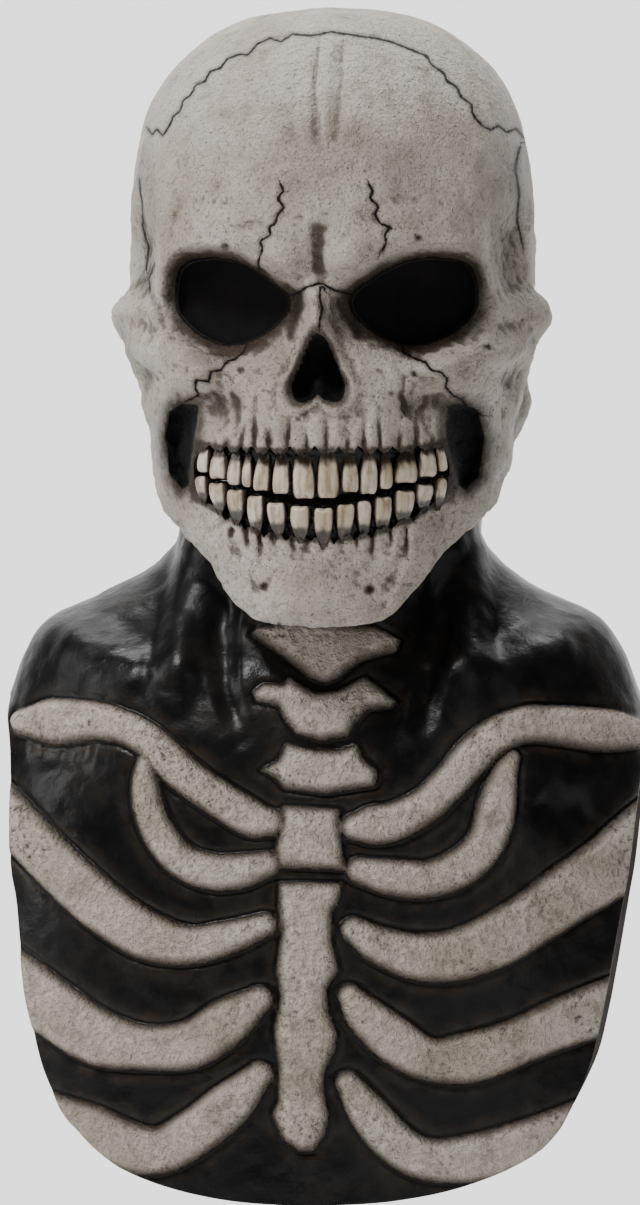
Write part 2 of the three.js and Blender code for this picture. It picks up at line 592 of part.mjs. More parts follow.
function cheekOutline(side, grown) {
  const middle = new THREE.Vector2();
  CHEEK_OUTLINE.forEach((row) => middle.add(new THREE.Vector2(row.across, row.down)));
  middle.divideScalar(CHEEK_OUTLINE.length);
  return CHEEK_OUTLINE.map((row) => {
    const at = new THREE.Vector2((row.across - middle.x) * HALF_WIDTH, (middle.y - row.down) * HEAD_HEIGHT);
    at.multiplyScalar(1 + grown / at.length());
    return [side * (middle.x * HALF_WIDTH + at.x), CROWN - middle.y * HEAD_HEIGHT + at.y];
  });
}

// The recesses of the face, or the larger ones that keep a wall round them when grown
function recesses(grown) {
  const eyeGrown = EYE_FLOOR + (2.4 * grown) / EYE_WIDTH;
  const eyeRun = PAST + HALF_LENGTH / 4;
  const eyeOpen = eyeGrown + (2 * EYE_FLARE * eyeRun) / EYE_WIDTH;
  const noseGrown = 1 + (2.4 * grown) / NOSE_HEIGHT;
  const noseOpen = noseGrown + (2 * NOSE_FLARE * (PAST + NOSE_SETBACK)) / NOSE_HEIGHT;
  const eyes = [-1, 1].map((side) =>
    prism(
      eyeOutline(side, eyeOpen), eyeOutline(side, eyeGrown),
      (x) => eyeFloor(x) - eyeRun, (x) => eyeFloor(x) + grown * EYE_SLANT,
    ),
  );
  const cheeks = [-1, 1].map((side) =>
    slab(cheekOutline(side, grown), () => NEAR, (x) => cheekFloor(x) + grown * CHEEK_SLANT),
  );
  const nose = prism(noseOutline(noseOpen), noseOutline(noseGrown), () => NEAR, (x) => noseFloor(x) + grown);
  return [...eyes, ...cheeks, nose];
}

function eyeCutter(side) {
  return slab(eyeOutline(side, 1), () => NEAR, () => eyeFloor(0) + HALF_LENGTH / 3);
}

const mouthEdge = (share, name) =>
  CROWN - HEAD_HEIGHT * monotone(MOUTH.map((row) => row.across), MOUTH.map((row) => row[name]), Math.abs(share));
const MOUTH_POINTS = 8;

function mouthCutter() {
  const shares = Array.from({ length: 2 * MOUTH_POINTS + 1 }, (_, i) => i / MOUTH_POINTS - 1);
  const edge = (name) => shares.map((s) => [(s * MOUTH_WIDTH) / 2, mouthEdge(s, name)]);
  return slab([...edge("upper"), ...edge("lower").toReversed()], () => NEAR, () => -HALF_LENGTH / 2);
}

const bibX = (across) => BIB_SHIFT + (across * SHOULDER_WIDTH) / 2;
const bibZ = (down) => CHIN - down * BIB_DROP;

// Everything outside the bib's trimmed edge
function hemCutter() {
  const right = HEM.map((row) => [bibX(row.right), bibZ(row.down)]);
  const left = HEM.map((row) => [bibX(row.left), bibZ(row.down)]);
  const far = SHOULDER_WIDTH / 2 + PAST;
  const [top, bottom] = [bibZ(HEM[0].down), bibZ(1) - PAST];
  const outline = [[-far, top], ...right, ...left.toReversed(), [far, top], [far, bottom], [-far, bottom]];
  return slab(outline, () => -CHEST_DEPTH, () => CHEST_DEPTH);
}

// A raised bone from the two edges at each station, its ends lowered
function boneSolid(edges, lift) {
  const n = BONE_SECTION.length;
  const points = edges.flatMap(([from, to], i) => {
    const end = i === 0 || i === edges.length - 1;
    return BONE_SECTION.map(({ over, high }) => {
      const [x, z] = [0, 1].map((k) => THREE.MathUtils.lerp(from[k], to[k], over));
      const height = high < 0 ? -BONE_FOOT : high * lift * (end ? 0.5 : 1);
      const normal = frontNormal(x, z, NECK - 1, LAST);
      return frontPoint(x, z, NECK - 1, LAST).addScaledVector(normal, height);
    });
  });
  const faces = [];
  for (let i = 0; i < edges.length - 1; i++)
    for (let k = 0; k < n; k++) {
      const [a, b] = [i * n + k, i * n + ((k + 1) % n)];
      faces.push([a, a + n, b], [b, a + n, b + n]);
    }
  for (let k = 1; k < n - 1; k++) {
    const end = (edges.length - 1) * n;
    faces.push([0, k, k + 1], [end, end + k + 1, end + k]);
  }
  return solidOf(points, faces);
}

function strokeEdges(rows) {
  const curve = new THREE.CatmullRomCurve3(
    rows.map((row) => new THREE.Vector3(bibX(row.across), bibZ(row.down), (row.half * SHOULDER_WIDTH) / 2)),
  );
  return Array.from({ length: STROKE_STATIONS }, (_, i) => {
    const u = i / (STROKE_STATIONS - 1);
    const [at, ahead] = [curve.getPoint(u), curve.getTangent(u)];
    const across = new THREE.Vector2(-ahead.y, ahead.x).normalize().multiplyScalar(at.z);
    return [[at.x + across.x, at.y + across.y], [at.x - across.x, at.y - across.y]];
  });
}

function boneSolids() {
  const edgeLists = [
    ...Object.values(STROKES).map(strokeEdges),
    ...Object.values(PLATES_DOWN).map((rows) =>
      rows.map((row) => [[bibX(row.right), bibZ(row.down)], [bibX(row.left), bibZ(row.down)]]),
    ),
    ...Object.values(PLATES_ACROSS).map((rows) =>
      rows.map((row) => [[bibX(row.across), bibZ(row.top)], [bibX(row.across), bibZ(row.bottom)]]),
    ),
  ];
  return edgeLists.map((edges) => boneSolid(edges, BONE_LIFT));
}

const cutAll = (solid, cutters) => cutters.reduce((rest, cutter) => rest.subtract(cutter), solid);

function maskSkin() {
  const outside = boneSolids().reduce((sum, bone) => sum.add(bone), cutAll(formSolid(0), recesses(0)));
  const hollow = cutAll(formSolid(WALL), recesses(WALL));
  return cutAll(outside, [hollow, eyeCutter(-1), eyeCutter(1), mouthCutter(), hemCutter()]);
}

// Outline of a tooth from its gum to its biting edge: how far along it, and its half width
const TOOTH_OUTLINE = table(
  ["along", "half"],
  [[0, 0.34], [0.7, 0.5], [1, 0.38]],
);
// Beyond this distance from the middle the gums run on straight
const GUM_REACH = 46;

function gumPoint(x, z) {
  const at = THREE.MathUtils.clamp(x, -GUM_REACH, GUM_REACH);
  const point = frontPoint(at, z, 1, JAW);
  const inner = frontPoint(at - 3 * Math.sign(x), z, 1, JAW);
  const slope = at === x ? 0 : (point.y - inner.y) / (point.x - inner.x);
  return new THREE.Vector3(x, point.y + slope * (x - at), z);
}

function gumSlope(x, z) {
  return (gumPoint(x + 2, z).y - gumPoint(x - 2, z).y) / 4;
}

const TOOTH_ROUNDING = 0.72;
const TOOTH_BODY = 2.2;

// One tooth, from inside the strip to its rounded face
function toothSolid(row, gum, biting) {
  const x = row.across * HALF_WIDTH;
  const z = CROWN - HEAD_HEIGHT * ((row.top + row.bottom) / 2);
  const face = gumPoint(x, z);
  const slope = gumSlope(x, z);
  const across = new THREE.Vector3(1, slope, 0).normalize();
  const out = new THREE.Vector3(slope, -1, 0).normalize();
  const width = (row.wide * HALF_WIDTH) / across.x - TOOTH_GAP;
  const zAt = (share) => CROWN - HEAD_HEIGHT * THREE.MathUtils.lerp(row[gum], row[biting], share);
  const sides = TOOTH_OUTLINE.map(({ along: share, half }) => [half * width, zAt(share)]);
  const outline = [...sides, ...sides.toReversed().map(([s, zz]) => [-s, zz])];
  const layers = [
    { depth: -(WALL + CLEARANCE + STRIP_THICKNESS / 2), scale: 1 },
    { depth: TOOTH_PROUD - TOOTH_BODY, scale: 1 },
    { depth: TOOTH_PROUD, scale: TOOTH_ROUNDING },
  ];
  const points = layers.flatMap(({ depth, scale }) =>
    outline.map(([s, zz]) =>
      new THREE.Vector3(face.x, face.y, z + (zz - z) * scale)
        .addScaledVector(across, s * scale)
        .addScaledVector(out, depth),
    ),
  );
  const n = outline.length;
  const faces = [];
  for (let layer = 0; layer < layers.length - 1; layer++)
    for (let k = 0; k < n; k++) {
      const [a, b] = [layer * n + k, layer * n + ((k + 1) % n)];
      faces.push([a, b, a + n], [b, b + n, a + n]);
    }
  const end = (layers.length - 1) * n;
  for (let k = 1; k < n - 1; k++) faces.push([0, k + 1, k], [end, end + k, end + k + 1]);
  return solidOf(points, faces);
}

// The share of the mouth's half width where the strip's edge comes back to the edge of the opening
const STRIP_FADE = 0.8;
const STRIP_STATIONS = 13;

// The strip behind the skin that joins a row of teeth, from one height to another at each station
function stripSolid(topAt, bottomAt) {
  const points = Array.from({ length: STRIP_STATIONS }, (_, i) => {
    const x = STRIP_WIDTH * (i / (STRIP_STATIONS - 1) - 0.5);
    const share = (2 * x) / MOUTH_WIDTH;
    return [topAt(share), bottomAt(share)].flatMap((z) => {
      const out = new THREE.Vector3(gumSlope(x, z), -1, 0).normalize();
      return [WALL + CLEARANCE, WALL + CLEARANCE + STRIP_THICKNESS].map((depth) =>
        gumPoint(x, z).addScaledVector(out, -depth),
      );
    });
  }).flat();
  const faces = [];
  const round = [0, 1, 3, 2];
  for (let i = 0; i < STRIP_STATIONS - 1; i++)
    round.forEach((corner, k) => {
      const [a, b] = [i * 4 + corner, i * 4 + round[(k + 1) % 4]];
      faces.push([a, b, a + 4], [b, b + 4, a + 4]);
    });
  const end = (STRIP_STATIONS - 1) * 4;
  faces.push([0, 2, 1], [1, 2, 3], [end, end + 1, end + 2], [end + 1, end + 3, end + 2]);
  return solidOf(points, faces);
}

function upperTeeth() {
  const strip = stripSolid(
    (share) => mouthEdge(share, "upper") + STRIP_MARGIN * (1 - (share / STRIP_FADE) ** 4),
    (share) => mouthEdge(share, "line") + ROW_GAP,
  );
  return UPPER_TEETH.reduce((sum, row) => sum.add(toothSolid(row, "top", "bottom")), strip);
}

function lowerTeeth() {
  const strip = stripSolid(
    (share) => mouthEdge(share, "line") - ROW_GAP,
    (share) => mouthEdge(share, "lower") - STRIP_MARGIN * (1 - (share / STRIP_FADE) ** 4),
  );
  return LOWER_TEETH.reduce((sum, row) => sum.add(toothSolid(row, "bottom", "top")), strip);
}

function eyeMesh(side) {
  const behind = (extra) => (x) => eyeFloor(x) + (WALL + CLEARANCE + extra) * EYE_SLANT;
  return slab(eyeOutline(side, MESH_MARGIN), behind(0), behind(MESH_THICKNESS));
}

const latex = new THREE.MeshStandardMaterial({ color: 0xb9b0a4, roughness: 0.55, metalness: 0 });
const enamel = new THREE.MeshStandardMaterial({ color: 0xd6cbb2, roughness: 0.35, metalness: 0 });
const gauze = new THREE.MeshStandardMaterial({ color: 0x0d0c0c, roughness: 0.9, metalness: 0 });

function meshOf(name, solid, material) {
  const { vertProperties, triVerts } = solid.getMesh();
  const geometry = new THREE.BufferGeometry();
  geometry.setAttribute("position", new THREE.BufferAttribute(vertProperties, 3));
  geometry.setIndex(new THREE.BufferAttribute(triVerts, 1));
  const mesh = new THREE.Mesh(geometry, material);
  mesh.name = name;
  return mesh;
}

const mask = new THREE.Group();
mask.add(
  meshOf("mask_skin", maskSkin(), latex),
  meshOf("upper_teeth", upperTeeth(), enamel),
  meshOf("lower_teeth", lowerTeeth(), enamel),
  meshOf("eye_mesh_right", eyeMesh(-1), gauze),
  meshOf("eye_mesh_left", eyeMesh(1), gauze),
);

export default mask;
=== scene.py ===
"""Looks of the skull mask: the painted latex skin as a skull and a bib, the teeth and the eye meshes.

Metres, in the row frame: +Z up, the face looks along -Y, the origin is inside the crown.
Forms are worked out in millimetres and scaled when a mesh is made.
"""
import math

import bpy
import numpy as np
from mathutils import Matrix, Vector, kdtree, noise


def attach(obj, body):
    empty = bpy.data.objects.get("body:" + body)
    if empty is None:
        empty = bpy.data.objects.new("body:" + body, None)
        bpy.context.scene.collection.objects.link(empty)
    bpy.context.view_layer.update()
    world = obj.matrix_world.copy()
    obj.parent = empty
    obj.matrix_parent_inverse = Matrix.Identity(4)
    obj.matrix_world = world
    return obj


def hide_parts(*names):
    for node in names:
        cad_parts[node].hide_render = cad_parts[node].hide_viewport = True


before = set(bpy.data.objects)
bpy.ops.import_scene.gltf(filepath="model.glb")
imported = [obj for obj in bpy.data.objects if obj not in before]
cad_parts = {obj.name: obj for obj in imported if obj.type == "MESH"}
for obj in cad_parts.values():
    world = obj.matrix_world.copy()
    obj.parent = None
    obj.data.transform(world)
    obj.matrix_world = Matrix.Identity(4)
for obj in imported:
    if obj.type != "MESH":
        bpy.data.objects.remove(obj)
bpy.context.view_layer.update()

MM = 0.001

# Driving dimensions, as in the part's source
HEAD_WIDTH, HEAD_LENGTH, HEAD_HEIGHT = 189.0, 236.0, 289.0
NECK_WIDTH, NECK_LENGTH = 141.0, 146.0
SHOULDER_WIDTH, CHEST_DEPTH = 298.0, 184.0
BIB_DROP, BIB_SHIFT = 266.5, -4.0
WALL = 2.5
BONE_LIFT = 4.5
EYE_WIDTH, EYE_SPACING, EYE_DOWN = 56.0, 85.0, 0.483
EYE_INNER_DEPTH, EYE_OUTER_DEPTH = 11.0, 5.0
NOSE_HEIGHT, NOSE_DOWN = 34.0, 0.602
MOUTH_WIDTH = 118.0

HALF_WIDTH, HALF_LENGTH = HEAD_WIDTH / 2, HEAD_LENGTH / 2
CROWN = WALL
CHIN = CROWN - HEAD_HEIGHT

# The photograph's scale: millimetres a pixel, the face's middle column and the crown's row
PIXEL = 0.47
FACE_COLUMN, HEAD_COLUMN, CROWN_ROW = 318.5, 333.0, 8.0
FRAME_WIDTH, FRAME_HEIGHT = 640, 1205


CAMERA_AZIMUTH, CAMERA_ELEVATION, CAMERA_DISTANCE = 3.6, 1.0, 4.5


def read(px, py):
    """Across the face and up, in millimetres, from a place read off the photograph."""
    across = x = (px - HEAD_COLUMN) * PIXEL
    for _ in range(4):
        depth = 0.95 * HALF_LENGTH * (1 - min(1, abs(x) / HALF_WIDTH) ** 2.3) ** 0.43
        x = across + depth * math.sin(math.radians(CAMERA_AZIMUTH))
    return x, CROWN - (py - CROWN_ROW) * PIXEL


def read_line(*places):
    return np.array([read(px, py) for px, py in places])


# Camera

SENSOR = 36.0


def make_camera():
    a, e = math.radians(CAMERA_AZIMUTH), math.radians(CAMERA_ELEVATION)
    back = Vector((math.sin(a) * math.cos(e), -math.cos(a) * math.cos(e), math.sin(e)))
    right = Vector((math.cos(a), math.sin(a), 0))
    across = (FRAME_WIDTH / 2 - HEAD_COLUMN) * PIXEL * MM
    up = (CROWN - (FRAME_HEIGHT / 2 - CROWN_ROW) * PIXEL) * MM
    data = bpy.data.cameras.new("camera")
    data.sensor_width = SENSOR
    data.lens = SENSOR * CAMERA_DISTANCE / (FRAME_HEIGHT * PIXEL * MM)
    camera = bpy.data.objects.new("camera", data)
    camera.location = right * across + Vector((0, 0, up)) + back * CAMERA_DISTANCE
    camera.rotation_mode = "QUATERNION"
    camera.rotation_quaternion = (-back).to_track_quat("-Z", "Y")
    bpy.context.scene.collection.objects.link(camera)
    bpy.context.scene.camera = camera


make_camera()

# The rings that the skin is lofted through. A ring's height is given at the front and at angles round
# to the back. Head rings are in shares of the head's sizes, the others of the neck's and the bib's.
RING_ANGLES = [0, 20, 45, 67, 90, 180]
FOLLOWS = {
    "head": (CROWN, HEAD_HEIGHT, HALF_WIDTH, HALF_LENGTH, 0.0),
    "neck": (CHIN, BIB_DROP, NECK_WIDTH / 2, NECK_LENGTH / 2, BIB_SHIFT / 3),
    "bib": (CHIN, BIB_DROP, SHOULDER_WIDTH / 2, CHEST_DEPTH / 2, BIB_SHIFT),
}
RINGS = [
    ("head", [0] * 6, 0, 0, 0, 2.0),
    ("head", [0.013] * 6, 0.37, 0.32, 0.31, 2.0),
    ("head", [0.034] * 6, 0.535, 0.46, 0.45, 2.0),
    ("head", [0.065] * 6, 0.683, 0.6, 0.59, 2.05),
    ("head", [0.117] * 6, 0.83, 0.76, 0.75, 2.1),
    ("head", [0.182] * 6, 0.93, 0.875, 0.89, 2.2),
    ("head", [0.255] * 6, 0.977, 0.945, 0.965, 2.3),
    ("head", [0.337] * 6, 1.0, 0.985, 1.0, 2.35),
    ("head", [0.4] * 6, 1.0, 0.985, 1.005, 2.35),
    ("head", [0.475] * 6, 0.995, 0.93, 0.99, 2.35),
    ("head", [0.556] * 6, 0.97, 0.935, 0.94, 2.3),
    ("head", [0.637, 0.637, 0.636, 0.633, 0.63, 0.63], 0.95, 0.975, 0.86, 2.2),
    ("head", [0.722, 0.721, 0.716, 0.7, 0.685, 0.69], 0.905, 1.005, 0.78, 2.1),
    ("head", [0.805, 0.797, 0.758, 0.735, 0.712, 0.712], 0.9, 1.0, 0.745, 2.05),
    ("head", [0.856, 0.85, 0.8, 0.765, 0.728, 0.728], 0.893, 0.985, 0.72, 2.0),
    ("head", [0.93, 0.923, 0.848, 0.795, 0.742, 0.742], 0.885, 0.985, 0.7, 1.95),
    ("head", [1.0, 0.992, 0.879, 0.815, 0.753, 0.753], 0.875, 0.955, 0.685, 1.9),
    ("head", [0.975, 0.967, 0.864, 0.813, 0.768, 0.772], 0.757, 0.6, 0.645, 2.0),
    ("neck", [0.009, 0.002, -0.069, -0.137, -0.163, -0.163], 1.0, 0.96, 1.0, 2.1),
    ("neck", [0.039, 0.032, -0.013, -0.077, -0.111, -0.114], 1.135, 1.0, 1.01, 2.1),
    ("bib", [0.069, 0.062, 0.024, -0.024, -0.054, -0.069], 0.7, 0.826, 0.85, 2.1),
    ("bib", [0.096, 0.088, 0.062, 0.017, -0.006, -0.021], 0.875, 0.86, 0.89, 2.15),
    ("bib", [0.137, 0.133, 0.111, 0.073, 0.05, 0.04], 0.946, 0.89, 0.93, 2.2),
    ("bib", [0.205, 0.2, 0.186, 0.156, 0.133, 0.133], 1.0, 0.935, 0.97, 2.3),
    ("bib", [0.317, 0.314, 0.306, 0.287, 0.276, 0.276], 1.07, 0.98, 1.0, 2.35),
    ("bib", [0.538] * 6, 1.11, 1.03, 1.0, 2.35),
    ("bib", [0.8] * 6, 1.12, 1.06, 0.98, 2.35),
    ("bib", [1.034] * 6, 1.12, 1.06, 0.96, 2.35),
]
LAST = len(RINGS) - 1
JAW = next(i for i, ring in enumerate(RINGS) if ring[1][0] == 1.0)
TUCK = JAW + 1
PLACES = np.arange(len(RINGS))


def monotone(places, values, x):
    """Monotone cubic through values at rising places, level at both ends."""
    places, values, x = (np.asarray(a, float) for a in (places, values, x))
    width = np.diff(places)
    spread = (-1,) + (1,) * (values.ndim - 1)
    rise = np.diff(values, axis=0) / width.reshape(spread)
    slope = np.zeros_like(values)
    before, after = rise[:-1], rise[1:]
    same = before * after > 0
    slope[1:-1] = np.where(same, 2 * before * after / np.where(same, before + after, 1), 0)
    i = np.clip(np.searchsorted(places, x, side="right") - 1, 0, len(places) - 2)
    u = np.clip((x - places[i]) / width[i], 0, 1)
    w = width[i]
    if values.ndim > 1:
        u, w = u[..., None], w[..., None]
    change = values[i + 1] - values[i]
    return values[i] + change * u * u * (3 - 2 * u) + w * (u * (1 - u) ** 2 * slope[i] - u * u * (1 - u) * slope[i + 1])


def ring_column(k):
    scales = {2: 2, 3: 3, 4: 3}
    return np.array([ring[k] * (FOLLOWS[ring[0]][scales[k]] if k in scales else 1) for ring in RINGS])


RING_HEIGHTS = np.array([[FOLLOWS[r[0]][0] - z * FOLLOWS[r[0]][1] for z in r[1]] for r in RINGS])
RING_SHIFTS = np.array([FOLLOWS[r[0]][4] for r in RINGS])


def plain_form(angles, places):
    """Rows of points (places) by columns (angles in degrees from the front) of the plain form."""
    at_angles = np.array([monotone(RING_ANGLES, heights, np.abs(angles)) for heights in RING_HEIGHTS])
    z = monotone(PLACES, at_angles, places)
    half, front, back, square = (monotone(PLACES, ring_column(k), places)[:, None] for k in (2, 3, 4, 5))
    shift = monotone(PLACES, RING_SHIFTS, places)[:, None]
    s, c = np.sin(np.radians(angles))[None], np.cos(np.radians(angles))[None]
    x = shift + half * np.sign(s) * np.abs(s) ** (2 / square)
    y = -np.where(c > 0, front, back) * np.sign(c) * np.abs(c) ** (2 / square)
    return np.stack([x, y, z], -1)


def grid_normals(p):
    """Outward normals of a grid of rows by columns that closes round."""
    round_ = np.roll(p, -1, 1) - np.roll(p, 1, 1)
    down = np.gradient(p, axis=0)
    n = np.cross(down, round_)
    n /= np.maximum(np.linalg.norm(n, axis=-1, keepdims=True), 1e-9)
    return n


def smooth(x, low, high):
    u = np.clip((np.asarray(x, float) - low) / (high - low), 0, 1)
    return u * u * (3 - 2 * u)


def bell(x, width):
    return np.maximum(0, 1 - (x / width) ** 2) ** 2


# Round bumps and hollows on both sides of the face, as in the part's source: across, down, wide, tall,
# tilt and lift, in shares of the head's half width, height and half length
LENSES = [
    (0.16, 0.395, 0.26, 0.055, 0, 0.04),  # inner brow
    (0.55, 0.37, 0.4, 0.05, -8, 0.035),  # outer brow
    (0.0, 0.505, 0.17, 0.075, 0, 0.13),  # nasal bones
    (0.0, 0.46, 0.1, 0.06, 0, 0.04),  # bridge of the nose
    (0.7, 0.575, 0.3, 0.07, -20, 0.075),  # cheekbone
    (0.48, 0.655, 0.2, 0.055, 0, -0.045),  # hollow below the eye
    (0.0, 0.7, 0.6, 0.08, 0, 0.04),  # upper jaw
    (0.0, 0.875, 0.5, 0.045, 0, -0.02),  # hollow above the chin
    (0.0, 0.955, 0.34, 0.05, 0, 0.045),  # chin
    (0.2, 0.975, 0.13, 0.03, 0, 0.025),  # corner of the chin
    (0.8, 0.47, 0.12, 0.09, 0, 0.05),  # outer rim of the eye socket
    (0.93, 0.4, 0.14, 0.12, 0, -0.09),  # temple
    (0.35, 0.22, 0.4, 0.1, 0, 0.015),  # swelling of the forehead
    (0.15, 0.428, 0.17, 0.052, 12, 0.055),  # pad of the inner brow
    (0.62, 0.6, 0.27, 0.042, -22, 0.045),  # crest of the cheekbone
    (0.83, 0.56, 0.13, 0.05, -10, 0.03),  # corner of the cheekbone
]
# Finer ones that only show here
FINE_LENSES = [
    (0.42, 0.392, 0.24, 0.03, -14, 0.03),  # crest of the brow
    (0.71, 0.405, 0.17, 0.035, -35, 0.03),  # outer end of the brow
    (0.27, 0.545, 0.09, 0.085, 10, -0.035),  # beside the nose
    (0.46, 0.64, 0.17, 0.05, 0, -0.012),  # hollow of the upper jaw
    (0.3, 0.69, 0.13, 0.06, 0, 0.02),  # root of the eye tooth
    (0.9, 0.62, 0.12, 0.09, 0, -0.06),  # below the arch
    (0.27, 0.925, 0.11, 0.055, 25, -0.02),  # beside the chin
    (0.5, 0.88, 0.22, 0.05, 32, 0.02),  # body of the lower jaw
    (0.0, 0.9, 0.1, 0.045, 0, 0.015),  # ridge of the chin
    (0.93, 0.75, 0.1, 0.13, 0, 0.03),  # branch of the lower jaw
]
# Of the sides: along, down, long, tall, tilt and lift, the lift in shares of the half width
SIDE_LENSES = [
    (-0.42, 0.4, 0.3, 0.1, 0, -0.06),  # temple
    (-0.12, 0.5, 0.42, 0.05, -5, 0.075),  # arch of the cheekbone
    (-0.2, 0.54, 0.4, 0.1, -5, 0.055),  # foot of the arch
    (-0.5, 0.56, 0.25, 0.045, 12, 0.05),  # root of the arch
    (-0.3, 0.6, 0.25, 0.045, 0, -0.05),  # hollow below the arch
    (0.2, 0.66, 0.14, 0.07, 15, 0.06),  # knob behind the ear
    (0.07, 0.575, 0.05, 0.018, 0, -0.06),  # ear canal
]
EYE_RADII = [0.99, 1.05, 0.81, 0.67, 0.64, 0.725, 0.985, 0.82, 0.71, 0.68, 0.7, 0.815, 0.99]
NOSE_RADII = [0.5, 0.765, 0.95, 0.835, 0.68, 0.59, 0.65, 0.87, 1.235]
CHEEK_OUTLINE = [(0.6, 0.645), (0.69, 0.642), (0.76, 0.655), (0.79, 0.7), (0.765, 0.76), (0.7, 0.785),
                 (0.645, 0.775), (0.625, 0.73), (0.61, 0.69)]


def lens_sum(lenses, u, down, across_scale, lift_scale):
    total = np.zeros_like(u)
    for at, low, wide, tall, tilt, lift in lenses:
        s, c = math.sin(math.radians(tilt)), math.cos(math.radians(tilt))
        du, dz = u - at * across_scale, (low - down) * HEAD_HEIGHT
        a, b = (du * c + dz * s) / (wide * across_scale), (dz * c - du * s) / (tall * HEAD_HEIGHT)
        total += lift * lift_scale * np.maximum(0, 1 - a * a - b * b) ** 2
    return total


def radial_field(dx, dz, radii, size, start, end):
    turn = (np.degrees(np.arctan2(dz, dx)) - start) % 360
    places = np.linspace(0, end - start, len(radii))
    return np.hypot(dx, dz) / (size * monotone(places, radii, np.minimum(turn, end - start)))


# The right eye's opening is cut a little shorter at its outer end
RIGHT_EYE_CUT = 0.88


def eye_field(x, z):
    dx = np.abs(x) - EYE_SPACING / 2
    dx = np.where((x < 0) & (dx > 0), dx / RIGHT_EYE_CUT, dx)
    return radial_field(dx, z - (CROWN - EYE_DOWN * HEAD_HEIGHT), EYE_RADII, EYE_WIDTH / 2, 0, 360)


def nose_field(x, z):
    return radial_field(np.abs(x), z - (CROWN - NOSE_DOWN * HEAD_HEIGHT), NOSE_RADII, NOSE_HEIGHT / 2, -90, 90)


EYE_RING = 9
eye_half, eye_front, eye_square = ring_column(2)[EYE_RING], ring_column(3)[EYE_RING], ring_column(5)[EYE_RING]


def eye_depth(x):
    return -eye_front * (1 - (x / eye_half) ** eye_square) ** (1 / eye_square)


EYE_ENDS = (EYE_SPACING - EYE_WIDTH) / 2, (EYE_SPACING + EYE_WIDTH) / 2
EYE_FLOORS = eye_depth(EYE_ENDS[0]) + EYE_INNER_DEPTH, eye_depth(EYE_ENDS[1]) + EYE_OUTER_DEPTH
EYE_TILT = (EYE_FLOORS[1] - EYE_FLOORS[0]) / EYE_WIDTH


def eye_floor(x):
    return EYE_FLOORS[0] + EYE_TILT * (np.abs(x) - EYE_ENDS[0])


def line_distance(x, z, line):
    """Distance to a line of points, on its left positive and on its right negative, and the place along it."""
    best = np.full(x.shape, 1e9)
    side = np.ones(x.shape)
    place = np.zeros(x.shape)
    lengths = np.hypot(*np.diff(line, axis=0).T)
    run = np.concatenate([[0], np.cumsum(lengths)])
    for (a, b), length, start in zip(zip(line[:-1], line[1:]), lengths, run):
        d = (b - a) / length
        px, pz = x - a[0], z - a[1]
        t = np.clip(px * d[0] + pz * d[1], 0, length)
        dist = np.hypot(px - t * d[0], pz - t * d[1])
        closer = dist < best
        best = np.where(closer, dist, best)
        side = np.where(closer, np.sign(d[0] * pz - d[1] * px + 1e-12), side)
        place = np.where(closer, (start + t) / run[-1], place)
    return best, side, place


def polygon_depth(x, z, outline):
    """Distance inside a closed outline, negative outside."""
    outline = np.asarray(outline, float)
    closed = np.vstack([outline, outline[:1]])
    dist, _, _ = line_distance(x, z, closed)
    inside = np.zeros(x.shape, bool)
    for (ax, az), (bx, bz) in zip(closed[:-1], closed[1:]):
        if az == bz:
            continue
        crosses = ((az > z) != (bz > z)) & (x < (bx - ax) * (z - az) / (bz - az) + ax)
        inside ^= crosses
    return np.where(inside, dist, -dist)


# Sutures and cracks of the skull, as lines read off the photograph
CRACKS = [
    read_line((147, 132), (152, 138), (157, 133), (163, 140), (169, 132), (173, 122), (180, 116), (182, 106), (190, 100),
              (194, 90), (203, 87), (207, 77), (217, 74), (224, 64), (236, 60), (244, 61), (252, 50), (264, 44), (276, 48),
              (286, 40), (305, 42), (324, 38), (343, 41), (364, 44), (381, 47), (402, 55), (420, 62), (426, 72), (437, 78),
              (442, 88), (452, 93), (456, 103), (467, 110), (468, 120), (478, 131), (486, 135), (494, 130), (503, 136),
              (512, 131), (520, 140)),
    read_line((282, 191), (285, 197), (279, 205), (286, 213), (279, 221), (277, 229), (271, 233), (273, 240), (263, 246),
              (265, 254), (262, 261), (258, 274)),
    read_line((368, 191), (372, 198), (369, 205), (378, 212), (374, 220), (379, 229), (389, 233), (384, 240), (386, 248),
              (381, 256)),
    read_line((246, 346), (243, 354), (235, 361), (228, 363), (223, 372), (214, 373), (211, 383), (199, 381), (198, 390),
              (201, 396), (195, 399), (188, 402)),
    read_line((398, 346), (400, 355), (411, 360), (423, 364), (430, 372), (440, 374), (446, 381), (443, 388), (450, 396),
              (458, 400), (466, 411), (477, 415)),
    read_line((322, 288), (321, 300), (323, 312), (321, 328)),
    read_line((286, 300), (298, 296), (308, 291), (322, 287), (334, 294), (345, 297), (355, 300)),
    read_line((140, 182), (143, 205), (141, 228), (146, 250), (144, 270)),
    read_line((516, 150), (512, 172), (517, 196), (513, 222), (519, 246)),
    read_line((152, 268), (147, 280), (150, 292)),
]
